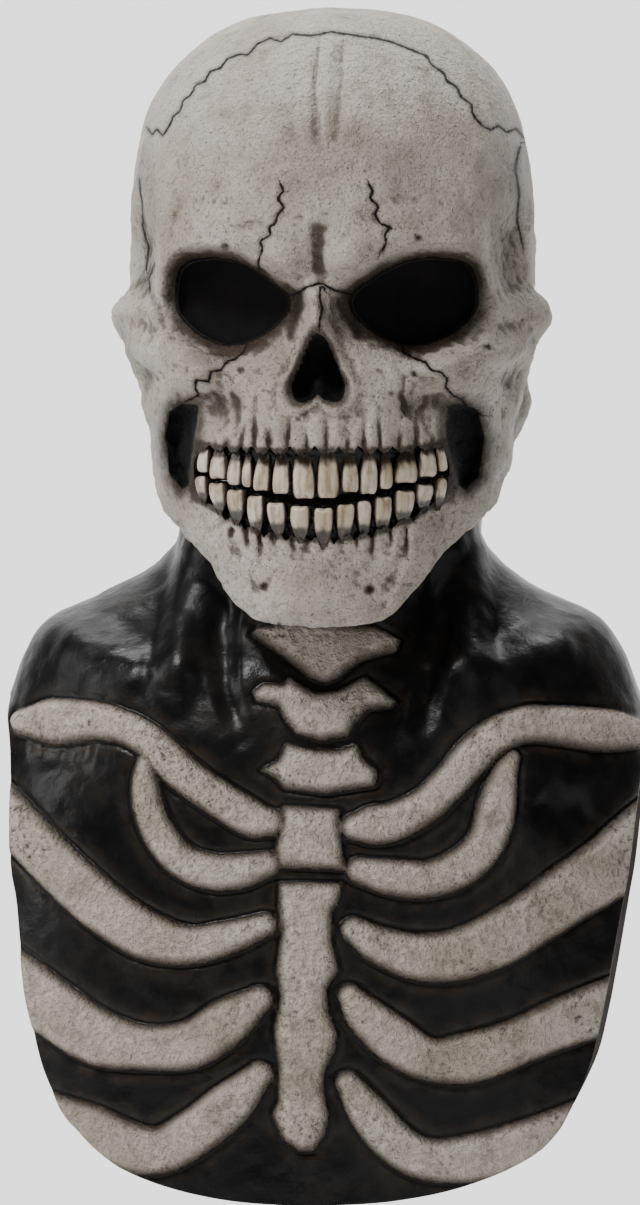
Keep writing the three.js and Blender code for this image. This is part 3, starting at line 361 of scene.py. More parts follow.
# Grooves: half width, depth and the line
GROOVES = [
    (6.0, -2.4, read_line((321, 225), (320, 258), (322, 296))),
    (3.2, -2.4, read_line((284, 303), (298, 297), (310, 290))),
    (3.2, -2.4, read_line((359, 303), (347, 297), (335, 290))),
    (4.2, -4.0, read_line((300, 292), (294, 318), (289, 346))),
    (4.2, -4.0, read_line((346, 292), (351, 318), (356, 346))),
    (2.2, -1.3, read_line((314, 34), (312, 90), (315, 156))),
    (2.2, -1.3, read_line((336, 34), (338, 90), (334, 156))),
    (3.0, 1.6, read_line((326, 32), (325, 90), (324, 156))),
    (3.0, -1.8, read_line((262, 296), (240, 268), (210, 262))),
    (2.6, -1.6, read_line((232, 388), (240, 410), (238, 440))),
    (2.4, -1.5, read_line((258, 395), (256, 415), (262, 442))),
    (2.6, -1.8, read_line((404, 372), (398, 396), (404, 420))),
    (2.4, -1.4, read_line((424, 392), (418, 412), (424, 436))),
    (4.5, -1.3, read_line((232, 535), (246, 565), (262, 592))),
    (4.5, -1.3, read_line((408, 535), (396, 565), (380, 592))),
    (5.0, 1.6, read_line((168, 138), (172, 176), (172, 211), (162, 249), (152, 274), (150, 292))),
    (5.0, 1.6, read_line((475, 138), (472, 176), (473, 205), (483, 240), (497, 272), (500, 292))),
    (5.0, -2.4, read_line((140, 285), (150, 296), (160, 310), (165, 330))),
    (4.0, 2.2, read_line((150, 300), (160, 335), (180, 358), (210, 370), (245, 366))),
    (4.0, 2.2, read_line((495, 300), (487, 335), (465, 360), (435, 372), (400, 366))),
    (3.0, 2.0, read_line((290, 398), (296, 408), (308, 410))),
    (3.0, 2.0, read_line((352, 398), (346, 408), (334, 410))),
    (6.0, 2.6, read_line((160, 410), (160, 440), (165, 470), (178, 500))),
    (6.0, 2.6, read_line((490, 412), (492, 440), (488, 470), (475, 500))),
]
# Roots of the teeth on the jaws: ridges and the grooves between them, darkened with painted shade
UPPER_ROOT_ROWS, LOWER_ROOT_ROWS = (392, 452), (528, 566)
UPPER_ROOTS = [222, 236, 250, 264, 280, 299, 318, 338, 356, 372, 388, 406, 424, 440]
LOWER_ROOTS = [226, 240, 254, 268, 284, 300, 316, 332, 348, 364, 380, 396, 412]
PITS = [(228, 252, 2.4), (417, 243, 2.2), (242, 371, 2.0), (412, 375, 2.2), (480, 349, 2.0), (266, 583, 2.6),
        (369, 586, 2.6), (206, 300, 1.2), (300, 420, 1.4), (389, 395, 1.4), (280, 620, 1.2)]


def mouth_edge(share, column):
    rows = np.array([(0, 0.722, 0.8, 0.857), (0.35, 0.723, 0.79, 0.851), (0.7, 0.72, 0.77, 0.825),
                     (0.9, 0.712, 0.758, 0.802), (1, 0.708, 0.751, 0.794)])
    return CROWN - HEAD_HEIGHT * monotone(rows[:, 0], rows[:, column], np.minimum(np.abs(share), 1))


CHEEK_SHAPE = [(a * HALF_WIDTH, CROWN - d * HEAD_HEIGHT) for a, d in CHEEK_OUTLINE]


def front_relief(x, z):
    """Forward lift of the face, and how dark painted shade makes its grooves, pits, root grooves, temples and the edge
    of its mouth.
    """
    down = (CROWN - z) / HEAD_HEIGHT
    lift = lens_sum(LENSES + FINE_LENSES, np.abs(x), down, HALF_WIDTH, HALF_LENGTH)
    shade = np.zeros_like(x)
    for width, height, line in GROOVES:
        dist, _, place = line_distance(x, z, line)
        ends = smooth(place, 0, 0.15) * (1 - smooth(place, 0.85, 1))
        lift += height * bell(dist, width) * ends
        # Deep grooves get painted shade, darker the deeper they are
        if height < -1.4:
            shade = np.maximum(shade, np.clip(-0.22 * height, 0, 1) * bell(dist, width * 0.75) * ends)
    for line in CRACKS:
        dist, _, _ = line_distance(x, z, line)
        lift -= 0.7 * bell(dist, 1.5)
    for px, py, size in PITS:
        cx, cz = read(px, py)
        dist = np.hypot(x - cx, z - cz)
        lift -= size * 0.9 * bell(dist, size)
        # Painted shade in and round each pit
        shade = np.maximum(shade, 0.9 * bell(dist, size * 1.5))
    for columns, (top, bottom), flip in ((UPPER_ROOTS, UPPER_ROOT_ROWS, 1), (LOWER_ROOTS, LOWER_ROOT_ROWS, -1)):
        for k, column in enumerate(columns):
            out = abs(column - FACE_COLUMN) / 130
            rise = (top, bottom) if flip > 0 else (bottom, top)
            reach = rise[1] + (rise[0] - rise[1]) * (0.55 + 0.45 * ((k * 7) % 5) / 5)
            bend = (1 - out * 0.1)
            near, far = read(column, rise[1]), read(FACE_COLUMN + (column - FACE_COLUMN) * bend, reach)
            dist, _, place = line_distance(x, z, np.array([near, far]))
            lift += 2.0 * bell(dist, 3.8) * (1 - smooth(place, 0.3, 1))
        middles = [(a + b) / 2 for a, b in zip(columns[:-1], columns[1:])]
        for k, column in enumerate(middles):
            reach = rise[1] + (rise[0] - rise[1]) * (0.35 + 0.6 * ((k * 3) % 7) / 7)
            near, far = read(column, rise[1]), read(column + ((k * 5) % 3 - 1) * 3, reach)
            dist, _, place = line_distance(x, z, np.array([near, far]))
            lift -= 1.9 * bell(dist, 2.1) * (1 - place)
            # Painted shade down the groove between two roots
            shade = np.maximum(shade, 1.0 * bell(dist, 2.2) * (1 - smooth(place, 0.3, 1)))
    field = nose_field(x, z)
    lift += 2.2 * bell(field - 1.28, 0.26)
    # The temples sink back and are darkened with painted shade, as sides that turn away from the light
    temple = smooth(np.abs(x), 74, 81) * smooth(down, 0.2, 0.27) * (1 - smooth(down, 0.44, 0.5))
    lift -= 2.5 * temple
    # Painted shade round the mouth opening, fading out a few millimetres from its edges
    share = np.clip(x / (MOUTH_WIDTH / 2), -1, 1)
    above, below = z - mouth_edge(share, 1), mouth_edge(share, 3) - z
    mouth = 1 - smooth(np.maximum(np.maximum(above, below), (np.abs(x) - MOUTH_WIDTH / 2)), 0.8, 4.5)
    return lift, np.maximum.reduce([shade, 0.35 * temple, mouth])


def side_relief(y, z):
    down = (CROWN - z) / HEAD_HEIGHT
    return lens_sum(SIDE_LENSES, y, down, HALF_LENGTH, HALF_WIDTH)


def lumps(points, size, depth, seed):
    """Slow unevenness of a cast surface, one value a point."""
    offset = Vector((seed * 11.3, seed * 5.1, seed * 7.7))
    return depth * np.array([noise.noise(Vector(p) / size + offset) for p in points.reshape(-1, 3)]).reshape(points.shape[:-1])


def spaced(places, arc, spacing):
    """Places along a profile so that neighbours are as far apart as spacing says."""
    steps = np.concatenate([[0], np.cumsum(np.diff(arc) / spacing[:-1])])
    count = int(round(steps[-1]))
    return np.interp(np.linspace(0, steps[-1], count + 1), steps, places)


def column_angles(fine_reach, fine, coarse):
    """Angles round, close together at the front, from just past -180 to 180."""
    front = np.arange(-fine_reach, fine_reach + fine / 2, fine)
    steps = int((180 - fine_reach) / coarse)
    side = fine_reach + (180 - fine_reach) * np.linspace(0, 1, steps + 1)[1:] ** 1.0
    return np.concatenate([-side[:-1][::-1], front, side])


def cheek_depth(x, z):
    return polygon_depth(np.abs(x), z, CHEEK_SHAPE)


def dress_head(p, angles):
    """Moves a grid of the plain head into the skull's shape. Returns the points and what is painted on them."""
    x, y, z = p[..., 0], p[..., 1], p[..., 2]
    c, s = np.cos(np.radians(angles))[None], np.abs(np.sin(np.radians(angles)))[None]
    facing = smooth(c, 0, 0.35) * np.ones_like(x)
    side = smooth(s, 0.45, 0.8) * np.ones_like(x)
    lift, shade = front_relief(x, z)
    moved_x = x + np.sign(x) * side * side_relief(y, z)
    moved_y = y - facing * lift
    eye = eye_field(x, z)
    dz = z - (CROWN - EYE_DOWN * HEAD_HEIGHT)
    upper = smooth(dz, -4, 10)
    start = 1.7 * (1 - upper) + 1.3 * upper
    socket = facing * smooth(start - eye, 0, start - 1.06)
    moved_y = moved_y * (1 - socket) + eye_floor(x) * socket
    nose = nose_field(x, z)
    ridge = bell(x, 4.5) * smooth(-(z - (CROWN - NOSE_DOWN * HEAD_HEIGHT)), -12, 12)
    nose_sink = 13 * smooth(1.08 - nose, 0, 0.45) * (1 - 0.5 * ridge)
    moved_y += facing * nose_sink
    cheek = cheek_depth(x, z)
    moved_y += facing * 15 * smooth(cheek, -1.5, 6.0)
    black = facing * np.maximum.reduce([smooth(1.1 - eye, 0, 0.07), smooth(0.99 - nose, 0, 0.12), smooth(cheek, -1, 2.5)])
    # Painted shade: a brown that deepens towards the eye, nose and cheek openings, where shade falls into the sockets.
    opening_shade = facing * np.maximum.reduce([np.clip(1.46 - eye, 0, 0.4) / 0.4, 0.85 * smooth(1.32 - nose, 0, 0.3),
                                       0.9 * smooth(cheek, -9, 0)])
    paint = {"black": black, "opening_shade": np.clip(opening_shade, 0, 1) ** 1.3, "shade": facing * np.clip(shade, 0, 1)}
    return np.stack([moved_x, moved_y, z], -1), paint


def furthest(values, rows, columns):
    """The largest value within some rows and columns of each place of a grid that closes round."""
    for axis, reach in ((0, rows), (1, columns)):
        wide = values.copy()
        for k in range(1, reach + 1):
            for step in (-k, k):
                moved = np.roll(values, step, axis)
                if axis == 0:
                    moved[:k] = values[:k] if step > 0 else moved[:k]
                    moved[-k:] = values[-k:] if step < 0 else moved[-k:]
                wide = np.maximum(wide, moved)
        values = wide
    return values


def inner_head(angles, places, plain, outer, inner_angles, inner_places):
    """The coarser inner face: as far in as the deepest of the outer face near each of its points."""
    sunk = outer - plain
    sunk_y = furthest(sunk[..., 1], 5, 6)
    sunk_x = furthest(-np.sign(plain[..., 0]) * sunk[..., 0], 5, 6)
    i = np.searchsorted(places, inner_places).clip(0, len(places) - 1)
    j = np.searchsorted(angles, inner_angles).clip(0, len(angles) - 1)
    inner = plain_form(inner_angles, inner_places)
    inner = inner - grid_normals(inner) * WALL
    inner[..., 0] -= np.sign(inner[..., 0]) * sunk_x[np.ix_(i, j)]
    inner[..., 1] += sunk_y[np.ix_(i, j)] * (np.cos(np.radians(inner_angles)) > -0.2)[None]
    return inner


def mesh_object(name, vertices, faces, materials, face_materials=None, smooth_faces=True):
    mesh = bpy.data.meshes.new(name)
    mesh.from_pydata([tuple(v) for v in np.asarray(vertices) * MM], [], [tuple(int(i) for i in f) for f in faces])
    for material in materials:
        mesh.materials.append(material)
    if face_materials is not None:
        mesh.polygons.foreach_set("material_index", np.asarray(face_materials, np.int32))
    if smooth_faces:
        mesh.polygons.foreach_set("use_smooth", [True] * len(mesh.polygons))
    mesh.validate()
    mesh.update()
    obj = bpy.data.objects.new(name, mesh)
    bpy.context.scene.collection.objects.link(obj)
    return obj


def add_attribute(obj, name, values):
    attribute = obj.data.attributes.new(name, "FLOAT", "POINT")
    attribute.data.foreach_set("value", np.asarray(values, np.float32).ravel())


def grid_faces(rows, columns, first=0, flipped=False):
    i, j = np.meshgrid(np.arange(rows - 1), np.arange(columns), indexing="ij")
    k = (j + 1) % columns
    quads = np.stack([i * columns + j, (i + 1) * columns + j, (i + 1) * columns + k, i * columns + k], -1).reshape(-1, 4)
    if flipped:
        quads = quads[:, ::-1]
    return (quads + first).tolist()


def zip_rows(first_a, angles_a, first_b, angles_b):
    """Triangles between two closed rows with columns at different angles."""
    faces, i, j = [], 0, 0
    na, nb = len(angles_a), len(angles_b)
    end = 1e9
    while i < na or j < nb:
        next_a = angles_a[i + 1] if i + 1 < na else (180.0 if i < na else end)
        next_b = angles_b[j + 1] if j + 1 < nb else (180.0 if j < nb else end)
        a, b = first_a + i % na, first_b + j % nb
        if j >= nb or (i < na and next_a <= next_b):
            faces.append((a, b, first_a + (i + 1) % na))
            i += 1
        else:
            faces.append((a, b, first_b + (j + 1) % nb))
            j += 1
    return faces


def point_attributes(mesh):
    found = {}
    for attribute in mesh.attributes:
        if attribute.data_type == "FLOAT" and attribute.domain == "POINT":
            values = np.empty(len(attribute.data), np.float32)
            attribute.data.foreach_get("value", values)
            found[attribute.name] = values
    return found


def boolean_cut(obj, cutter):
    """Cuts obj. Corners made on the cut take what is painted on the nearest corner there was before."""
    painted = point_attributes(obj.data)
    tree = kdtree.KDTree(len(obj.data.vertices))
    for i, vertex in enumerate(obj.data.vertices):
        tree.insert(vertex.co, i)
    tree.balance()
    modifier = obj.modifiers.new("cut", "BOOLEAN")
    modifier.operation = "DIFFERENCE"
    modifier.object = cutter
    modifier.solver = "MANIFOLD"
    bpy.context.view_layer.update()
    graph = bpy.context.evaluated_depsgraph_get()
    mesh = bpy.data.meshes.new_from_object(obj.evaluated_get(graph), preserve_all_data_layers=True, depsgraph=graph)
    old = obj.data
    obj.modifiers.clear()
    obj.data = mesh
    nearest = [tree.find(vertex.co)[1] for vertex in mesh.vertices]
    for name, values in painted.items():
        mesh.attributes[name].data.foreach_set("value", values[nearest])
    bpy.data.meshes.remove(old)
    bpy.data.objects.remove(cutter)


def prism(name, outline, near, far, paint):
    """A closed bar along Y whose outline is a list of (x, z)."""
    outline = list(outline)
    n = len(outline)
    area = sum(a[0] * b[1] - b[0] * a[1] for a, b in zip(outline, outline[1:] + outline[:1]))
    if area < 0:
        outline.reverse()
    points = [(x, near, z) for x, z in outline] + [(x, far, z) for x, z in outline]
    faces = [[(i + 1) % n, i, i + n, (i + 1) % n + n] for i in range(n)]
    faces += [list(range(n)), [i + n for i in reversed(range(n))]]
    return mesh_object(name, points, faces, [paint, inside], [1] * len(faces), smooth_faces=False)


def eye_outline(side, grown, count=72):
    turn = np.linspace(0, 360, count, endpoint=False)
    r = grown * EYE_WIDTH / 2 * monotone(np.linspace(0, 360, len(EYE_RADII)), EYE_RADII, turn)
    dx = r * np.cos(np.radians(turn))
    dx = np.where((side < 0) & (dx > 0) & (grown <= 1), dx * RIGHT_EYE_CUT, dx)
    x = side * (EYE_SPACING / 2 + dx)
    return list(zip(x, CROWN - EYE_DOWN * HEAD_HEIGHT + r * np.sin(np.radians(turn))))


# Materials


class Nodes:
    """Short names for building a material's nodes."""

    def __init__(self, name):
        self.material = bpy.data.materials.new(name)
        self.material.use_nodes = True
        self.tree = self.material.node_tree
        self.tree.nodes.clear()
        self.shader = self.tree.nodes.new("ShaderNodeBsdfPrincipled")
        output = self.tree.nodes.new("ShaderNodeOutputMaterial")
        self.tree.links.new(self.shader.outputs[0], output.inputs[0])
        self.place = self.tree.nodes.new("ShaderNodeTexCoord").outputs["Object"]

    def set(self, socket, value):
        if isinstance(value, bpy.types.NodeSocket):
            self.tree.links.new(value, socket)
        elif value is not None:
            socket.default_value = value

    def attribute(self, name):
        node = self.tree.nodes.new("ShaderNodeAttribute")
        node.attribute_name = name
        return node.outputs["Fac"]

    def noise(self, scale, detail=2.0, rough=0.5, stretch=None):
        node = self.tree.nodes.new("ShaderNodeTexNoise")
        place = self.place
        if stretch:
            mapping = self.tree.nodes.new("ShaderNodeMapping")
            mapping.inputs["Scale"].default_value = stretch
            self.tree.links.new(place, mapping.inputs["Vector"])
            place = mapping.outputs[0]
        self.tree.links.new(place, node.inputs["Vector"])
        node.inputs["Scale"].default_value = scale
        node.inputs["Detail"].default_value = detail
        node.inputs["Roughness"].default_value = rough
        return node.outputs["Fac"]

    def cells(self, scale, feature="F1"):
        node = self.tree.nodes.new("ShaderNodeTexVoronoi")
        node.feature = feature
        self.tree.links.new(self.place, node.inputs["Vector"])
        node.inputs["Scale"].default_value = scale
        return node.outputs["Distance"]

    def ramp(self, value, low, high, from_=0.0, to=1.0):
        node = self.tree.nodes.new("ShaderNodeMapRange")
        node.interpolation_type = "SMOOTHSTEP"
        self.set(node.inputs["Value"], value)
        for name, number in (("From Min", low), ("From Max", high), ("To Min", from_), ("To Max", to)):
            node.inputs[name].default_value = number
        return node.outputs["Result"]

    def math(self, operation, a, b=None):
        node = self.tree.nodes.new("ShaderNodeMath")
        node.operation = operation
        self.set(node.inputs[0], a)
        self.set(node.inputs[1], b)
        return node.outputs[0]

    def mix(self, fac, a, b, blend="MIX"):
        node = self.tree.nodes.new("ShaderNodeMix")
        node.data_type = "RGBA"
        node.blend_type = blend
        self.set(node.inputs[0], fac)
        for socket, value in ((node.inputs[6], a), (node.inputs[7], b)):
            self.set(socket, value if isinstance(value, bpy.types.NodeSocket) else (*value, 1.0))
        return node.outputs[2]

    def bump(self, height, strength, distance, normal=None):
        node = self.tree.nodes.new("ShaderNodeBump")
        self.set(node.inputs["Height"], height)
        node.inputs["Strength"].default_value = strength
        node.inputs["Distance"].default_value = distance
        if normal is not None:
            self.tree.links.new(normal, node.inputs["Normal"])
        return node.outputs[0]

    def finish(self, **sockets):
        for name, value in sockets.items():
            self.set(self.shader.inputs[name.replace("_", " ")], value)
        return self.material


BONE_LIGHT, BONE_WARM, BONE_DARK = (0.48, 0.432, 0.38), (0.35, 0.3, 0.248), (0.15, 0.12, 0.092)
# The wash brown marks random mottling, specks and the bones' edges, and also serves as painted shade in hollows,
# grooves, pits and round the openings.
WASH_AND_SHADE, INK = (0.022, 0.014, 0.009), (0.003, 0.0025, 0.0022)
BLACK, BLACK_RUB = (0.0025, 0.0025, 0.0028), (0.013, 0.0105, 0.0085)


def skull_material():
    m = Nodes("painted_bone")
    broad, middle, fine = m.noise(22, 4, 0.6), m.noise(90, 5, 0.65), m.noise(420, 3, 0.6)
    grain = m.noise(1300, 2, 0.6)
    base = m.mix(m.ramp(broad, 0.35, 0.7), BONE_LIGHT, BONE_WARM)
    base = m.mix(m.math("MULTIPLY", m.ramp(middle, 0.5, 0.78), 0.55), base, BONE_DARK)
    base = m.mix(m.math("MULTIPLY", m.ramp(fine, 0.6, 0.8), 0.35), base, WASH_AND_SHADE)
    speck = m.ramp(m.cells(420), 0.2, 0.06)
    base = m.mix(m.math("MULTIPLY", speck, m.ramp(m.noise(60, 3), 0.36, 0.56)), base, WASH_AND_SHADE)
    base = m.mix(m.math("MULTIPLY", m.ramp(m.noise(700, 4, 0.7), 0.5, 0.68), 0.5), base, (0.09, 0.068, 0.05))
    # Painted shade round the eye, nose and cheek openings
    opening_shade = m.math("MULTIPLY", m.attribute("opening_shade"), m.ramp(middle, 0.15, 0.75, 1.25, 0.75))
    base = m.mix(m.ramp(opening_shade, 0.0, 1.0, 0.0, 0.93), base, WASH_AND_SHADE)
    # Painted shade from the face's grooves, pits, root grooves, temples and mouth edge
    shade = m.math("MULTIPLY", m.attribute("shade"), m.ramp(fine, 0.2, 0.8, 1.3, 0.6))
    base = m.mix(m.ramp(shade, 0.05, 0.9, 0.0, 0.9), base, WASH_AND_SHADE)
    # Painted shade in the broad hollows of the face
    hollow_shade = m.ramp(m.attribute("hollow_shade"), 0.1, 1.0, 0.0, 0.85)
    base = m.mix(m.math("MULTIPLY", hollow_shade, m.ramp(middle, 0.2, 0.7, 1.2, 0.7)), base, WASH_AND_SHADE)
    # Painted shade in the small pits
    pit_shade = m.math("MULTIPLY", m.ramp(m.attribute("pit_shade"), 0.35, 1.5), m.ramp(fine, 0.3, 0.6, 0.15, 0.6))
    base = m.mix(pit_shade, base, (0.06, 0.043, 0.03))
    crack = m.math("ABSOLUTE", m.attribute("crack"))
    wobble = m.math("MULTIPLY", m.ramp(fine, 0.3, 0.7), 0.45)
    near = m.attribute("near")
    line = m.math("MULTIPLY", m.ramp(m.math("SUBTRACT", crack, wobble), 0.5, 0.05), near)
    soft = m.math("MULTIPLY", m.ramp(crack, 2.4, 0.3, 0.0, 0.45), near)
    base = m.mix(soft, base, WASH_AND_SHADE)
    base = m.mix(line, base, INK)
    black = m.ramp(m.math("ADD", m.attribute("black"), m.math("MULTIPLY", m.math("SUBTRACT", middle, 0.5), 0.5)), 0.3, 0.7)
    colour = m.mix(black, base, BLACK)
    relief = m.math("ADD", m.math("MULTIPLY", fine, 0.6), m.math("MULTIPLY", grain, 0.3))
    relief = m.math("ADD", relief, m.math("MULTIPLY", m.ramp(m.cells(260), 0.0, 0.25), 0.35))
    normal = m.bump(relief, 1.0, 0.0022)
    normal = m.bump(m.noise(170, 5, 0.72), 0.8, 0.005, normal)
    rough = m.ramp(m.noise(35, 4, 0.6), 0.35, 0.7, 0.42, 0.62)
    rough = m.math("SUBTRACT", rough, m.math("MULTIPLY", m.attribute("sheen"), 0.22))
    rough = m.math("ADD", rough, m.math("MULTIPLY", black, 0.15))
    return m.finish(Base_Color=colour, Roughness=rough, Normal=normal, Specular_IOR_Level=0.16)


def bib_material():
    m = Nodes("painted_bib")
    edge = m.attribute("bone")
    broad, middle, fine = m.noise(18, 4, 0.6), m.noise(85, 5, 0.65), m.noise(380, 3, 0.62)
    ragged = m.math("ADD", edge, m.math("MULTIPLY", m.math("SUBTRACT", fine, 0.5), 2.0))
    bone = m.ramp(ragged, -0.2, 0.9)
    base = m.mix(m.ramp(broad, 0.35, 0.7), (0.43, 0.385, 0.33), (0.33, 0.28, 0.225))
    base = m.mix(m.math("MULTIPLY", m.ramp(middle, 0.45, 0.75), 0.7), base, (0.17, 0.135, 0.1))
    pits = m.math("MULTIPLY", m.ramp(fine, 0.52, 0.7), m.ramp(m.noise(30, 3), 0.4, 0.65))
    base = m.mix(m.math("MULTIPLY", pits, 0.85), base, WASH_AND_SHADE)
    base = m.mix(m.ramp(ragged, 4.5, 0.3, 0.0, 0.85), base, WASH_AND_SHADE)
    rub = m.math("MULTIPLY", m.ramp(m.noise(26, 5, 0.7), 0.48, 0.72), 0.8)
    dark = m.mix(rub, BLACK, BLACK_RUB)
    dark = m.mix(m.math("MULTIPLY", m.ramp(edge, -9, -1.5), m.ramp(middle, 0.3, 0.7)), dark, (0.02, 0.0145, 0.01))
    groove = m.ramp(m.math("ABSOLUTE", m.math("ADD", edge, 0.9)), 1.1, 0.4)
    dark = m.mix(groove, dark, INK)
    colour = m.mix(bone, dark, base)
    relief = m.math("MULTIPLY", m.math("ADD", m.ramp(fine, 0.75, 0.35), m.math("MULTIPLY", m.noise(1200, 2), 0.3)), bone)
    normal = m.bump(relief, 0.9, 0.002)
    normal = m.bump(m.noise(55, 5, 0.62), 0.3, 0.003, normal)
    satin = m.ramp(m.noise(40, 4, 0.65), 0.3, 0.7, 0.27, 0.42)
    rough = m.math("ADD", m.math("MULTIPLY", bone, 0.3), satin)
    return m.finish(Base_Color=colour, Roughness=rough, Normal=normal, Specular_IOR_Level=0.14)


def inside_material():
    m = Nodes("raw_latex")
    colour = m.mix(m.ramp(m.noise(30, 4), 0.35, 0.7), (0.05, 0.042, 0.034), (0.075, 0.062, 0.048))
    return m.finish(Base_Color=colour, Roughness=m.ramp(m.noise(70, 3), 0.3, 0.7, 0.55, 0.75),
                    Normal=m.bump(m.noise(160, 4), 0.4, 0.001))


def tooth_material():
    m = Nodes("stained_ivory")
    root = m.attribute("root")
    streaks = m.noise(60, 4, 0.6, stretch=(6, 6, 1))
    base = m.mix(m.ramp(m.noise(70, 3), 0.35, 0.7), (0.5, 0.44, 0.35), (0.36, 0.29, 0.2))
    base = m.mix(m.math("MULTIPLY", m.ramp(streaks, 0.42, 0.7), 0.75), base, (0.15, 0.095, 0.05))
    # The root mark gives painted shade on the sides and back and a stain at the gum end; the streaks are stain
    stain_and_side_shade = m.math("ADD", root, m.math("MULTIPLY", m.math("SUBTRACT", streaks, 0.5), 0.9))
    base = m.mix(m.ramp(stain_and_side_shade, 0.25, 0.95, 0.0, 0.97), base, (0.022, 0.013, 0.007))
    return m.finish(Base_Color=base, Roughness=m.ramp(m.noise(120, 3), 0.3, 0.7, 0.2, 0.4),
                    Normal=m.bump(m.noise(240, 4, 0.6, stretch=(3, 3, 1)), 0.35, 0.0008),
                    Specular_IOR_Level=0.45)


def gum_material():
    m = Nodes("gum_black")
    colour = m.mix(m.ramp(m.noise(150, 4), 0.5, 0.72), (0.002, 0.0018, 0.0016), (0.006, 0.004, 0.003))
    return m.finish(Base_Color=colour, Roughness=m.ramp(m.noise(200, 3), 0.3, 0.7, 0.08, 0.25),
                    Normal=m.bump(m.noise(420, 4, 0.6), 0.5, 0.001), Specular_IOR_Level=0.16)


def mesh_material():
    m = Nodes("eye_gauze")

    def wave(direction):
        node = m.tree.nodes.new("ShaderNodeTexWave")
        node.bands_direction = direction
        m.tree.links.new(m.place, node.inputs["Vector"])
        node.inputs["Scale"].default_value = 330
        node.inputs["Distortion"].default_value = 0.6
        node.inputs["Detail Scale"].default_value = 8
        return node.outputs["Fac"]

    threads = m.math("MAXIMUM", wave("X"), wave("Z"))
    colour = m.mix(m.ramp(threads, 0.35, 0.85), (0.001, 0.001, 0.001), (0.008, 0.007, 0.007))
    colour = m.mix(m.math("MULTIPLY", m.ramp(m.noise(45, 4), 0.5, 0.7), 0.5), colour, (0.012, 0.01, 0.009))
    return m.finish(Base_Color=colour, Roughness=m.ramp(m.noise(90, 2), 0.3, 0.7, 0.5, 0.7),
                    Normal=m.bump(threads, 0.5, 0.0005), Specular_IOR_Level=0.04)


skull_paint, bib_paint, inside = skull_material(), bib_material(), inside_material()
ivory, gum, gauze = tooth_material(), gum_material(), mesh_material()

# The skull


def hollowness(q, reach):
    """How far each point of a grid lies below its neighbours, in millimetres."""
    n = grid_normals(q)
    mean = q.copy()
    for _ in range(reach):
        padded = np.concatenate([mean[:1], mean, mean[-1:]])
        mean = (padded[:-2] + padded[2:] + np.roll(mean, 1, 1) + np.roll(mean, -1, 1)) / 4
    return ((mean - q) * n).sum(-1)


def make_skull():
    angles = column_angles(82, 0.72, 3.2)
    dense = np.linspace(0.02, TUCK, 1200)
    profile = plain_form(np.array([25.0]), dense)[:, 0]
    arc = np.concatenate([[0], np.cumsum(np.linalg.norm(np.diff(profile, axis=0), axis=1))])
    spacing = np.interp(dense, [0, 5, 7.5, JAW - 0.2, JAW + 0.3, TUCK], [2.6, 2.2, 1.25, 1.2, 2.2, 3.0])
    places = spaced(dense, arc, spacing)
    plain = plain_form(angles, places)
    outer, paint = dress_head(plain, angles)
    rough = 0.35 + 0.65 * smooth(-outer[..., 2], 60, 130)
    lumpy = lumps(outer, 26.0, 1.0, 1) + rough * (lumps(outer, 9.0, 0.8, 2) + lumps(outer, 4.6, 0.5, 3) + lumps(outer, 2.6, 0.38, 4))
    outer = outer + grid_normals(outer) * lumpy[..., None]
    # Painted shade: points that lie below their wider surroundings are darkened
    hollow_shade = np.clip(hollowness(outer, 40) / 1.9, 0, 1.2)
    # Painted shade in the small pits between the lumps
    pit_shade = np.clip(hollowness(outer, 4) / 0.16, 0, 1.5)
    inner_angles = column_angles(82, 3.0, 6.5)
    inner_places = spaced(dense, arc, np.full(dense.shape, 4.2))
    inner = inner_head(angles, places, plain, outer, inner_angles, inner_places)
    rows, columns = outer.shape[:2]
    inner_rows, inner_columns = inner.shape[:2]
    vertices = [outer.reshape(-1, 3), inner.reshape(-1, 3)]
    faces = grid_faces(rows, columns)
    marks = [0] * len(faces)
    first_inner = rows * columns
    inner_faces = grid_faces(inner_rows, inner_columns, first_inner, flipped=True)
    poles = first_inner + inner_rows * inner_columns
    vertices.append(np.array([[0, 0, CROWN], [0, 0, CROWN - WALL]]))
    faces += [(poles, k, (k + 1) % columns) for k in range(columns)]
    marks += [0] * columns
    inner_faces += [(poles + 1, first_inner + (k + 1) % inner_columns, first_inner + k) for k in range(inner_columns)]
    inner_faces += zip_rows((rows - 1) * columns, angles - 0.0, first_inner + (inner_rows - 1) * inner_columns, inner_angles)
    faces += inner_faces
    marks += [1] * len(inner_faces)
    vertices = np.vstack(vertices)
    skull = mesh_object("skull", vertices, faces, [skull_paint, inside], marks)
    crack = np.full(outer.shape[:2], 6.0)
    for line in CRACKS:
        dist, side, _ = line_distance(outer[..., 0], outer[..., 2], line)
        crack = np.where(dist < np.abs(crack), dist * side, crack)
    crack = np.where(np.cos(np.radians(angles))[None] > 0.05, crack, 6.0)
    glow = read(185, 110)
    sheen = bell(np.hypot(outer[..., 0] - glow[0], outer[..., 2] - glow[1]), 42)
    rest = len(vertices) - first_inner
    near = 1 - smooth(np.abs(crack), 2.5, 4.0)
    for name, values in {**paint, "hollow_shade": hollow_shade, "pit_shade": pit_shade, "crack": crack, "near": near, "sheen": sheen}.items():
        add_attribute(skull, name, np.concatenate([values.ravel(), np.zeros(rest)]))
    return skull


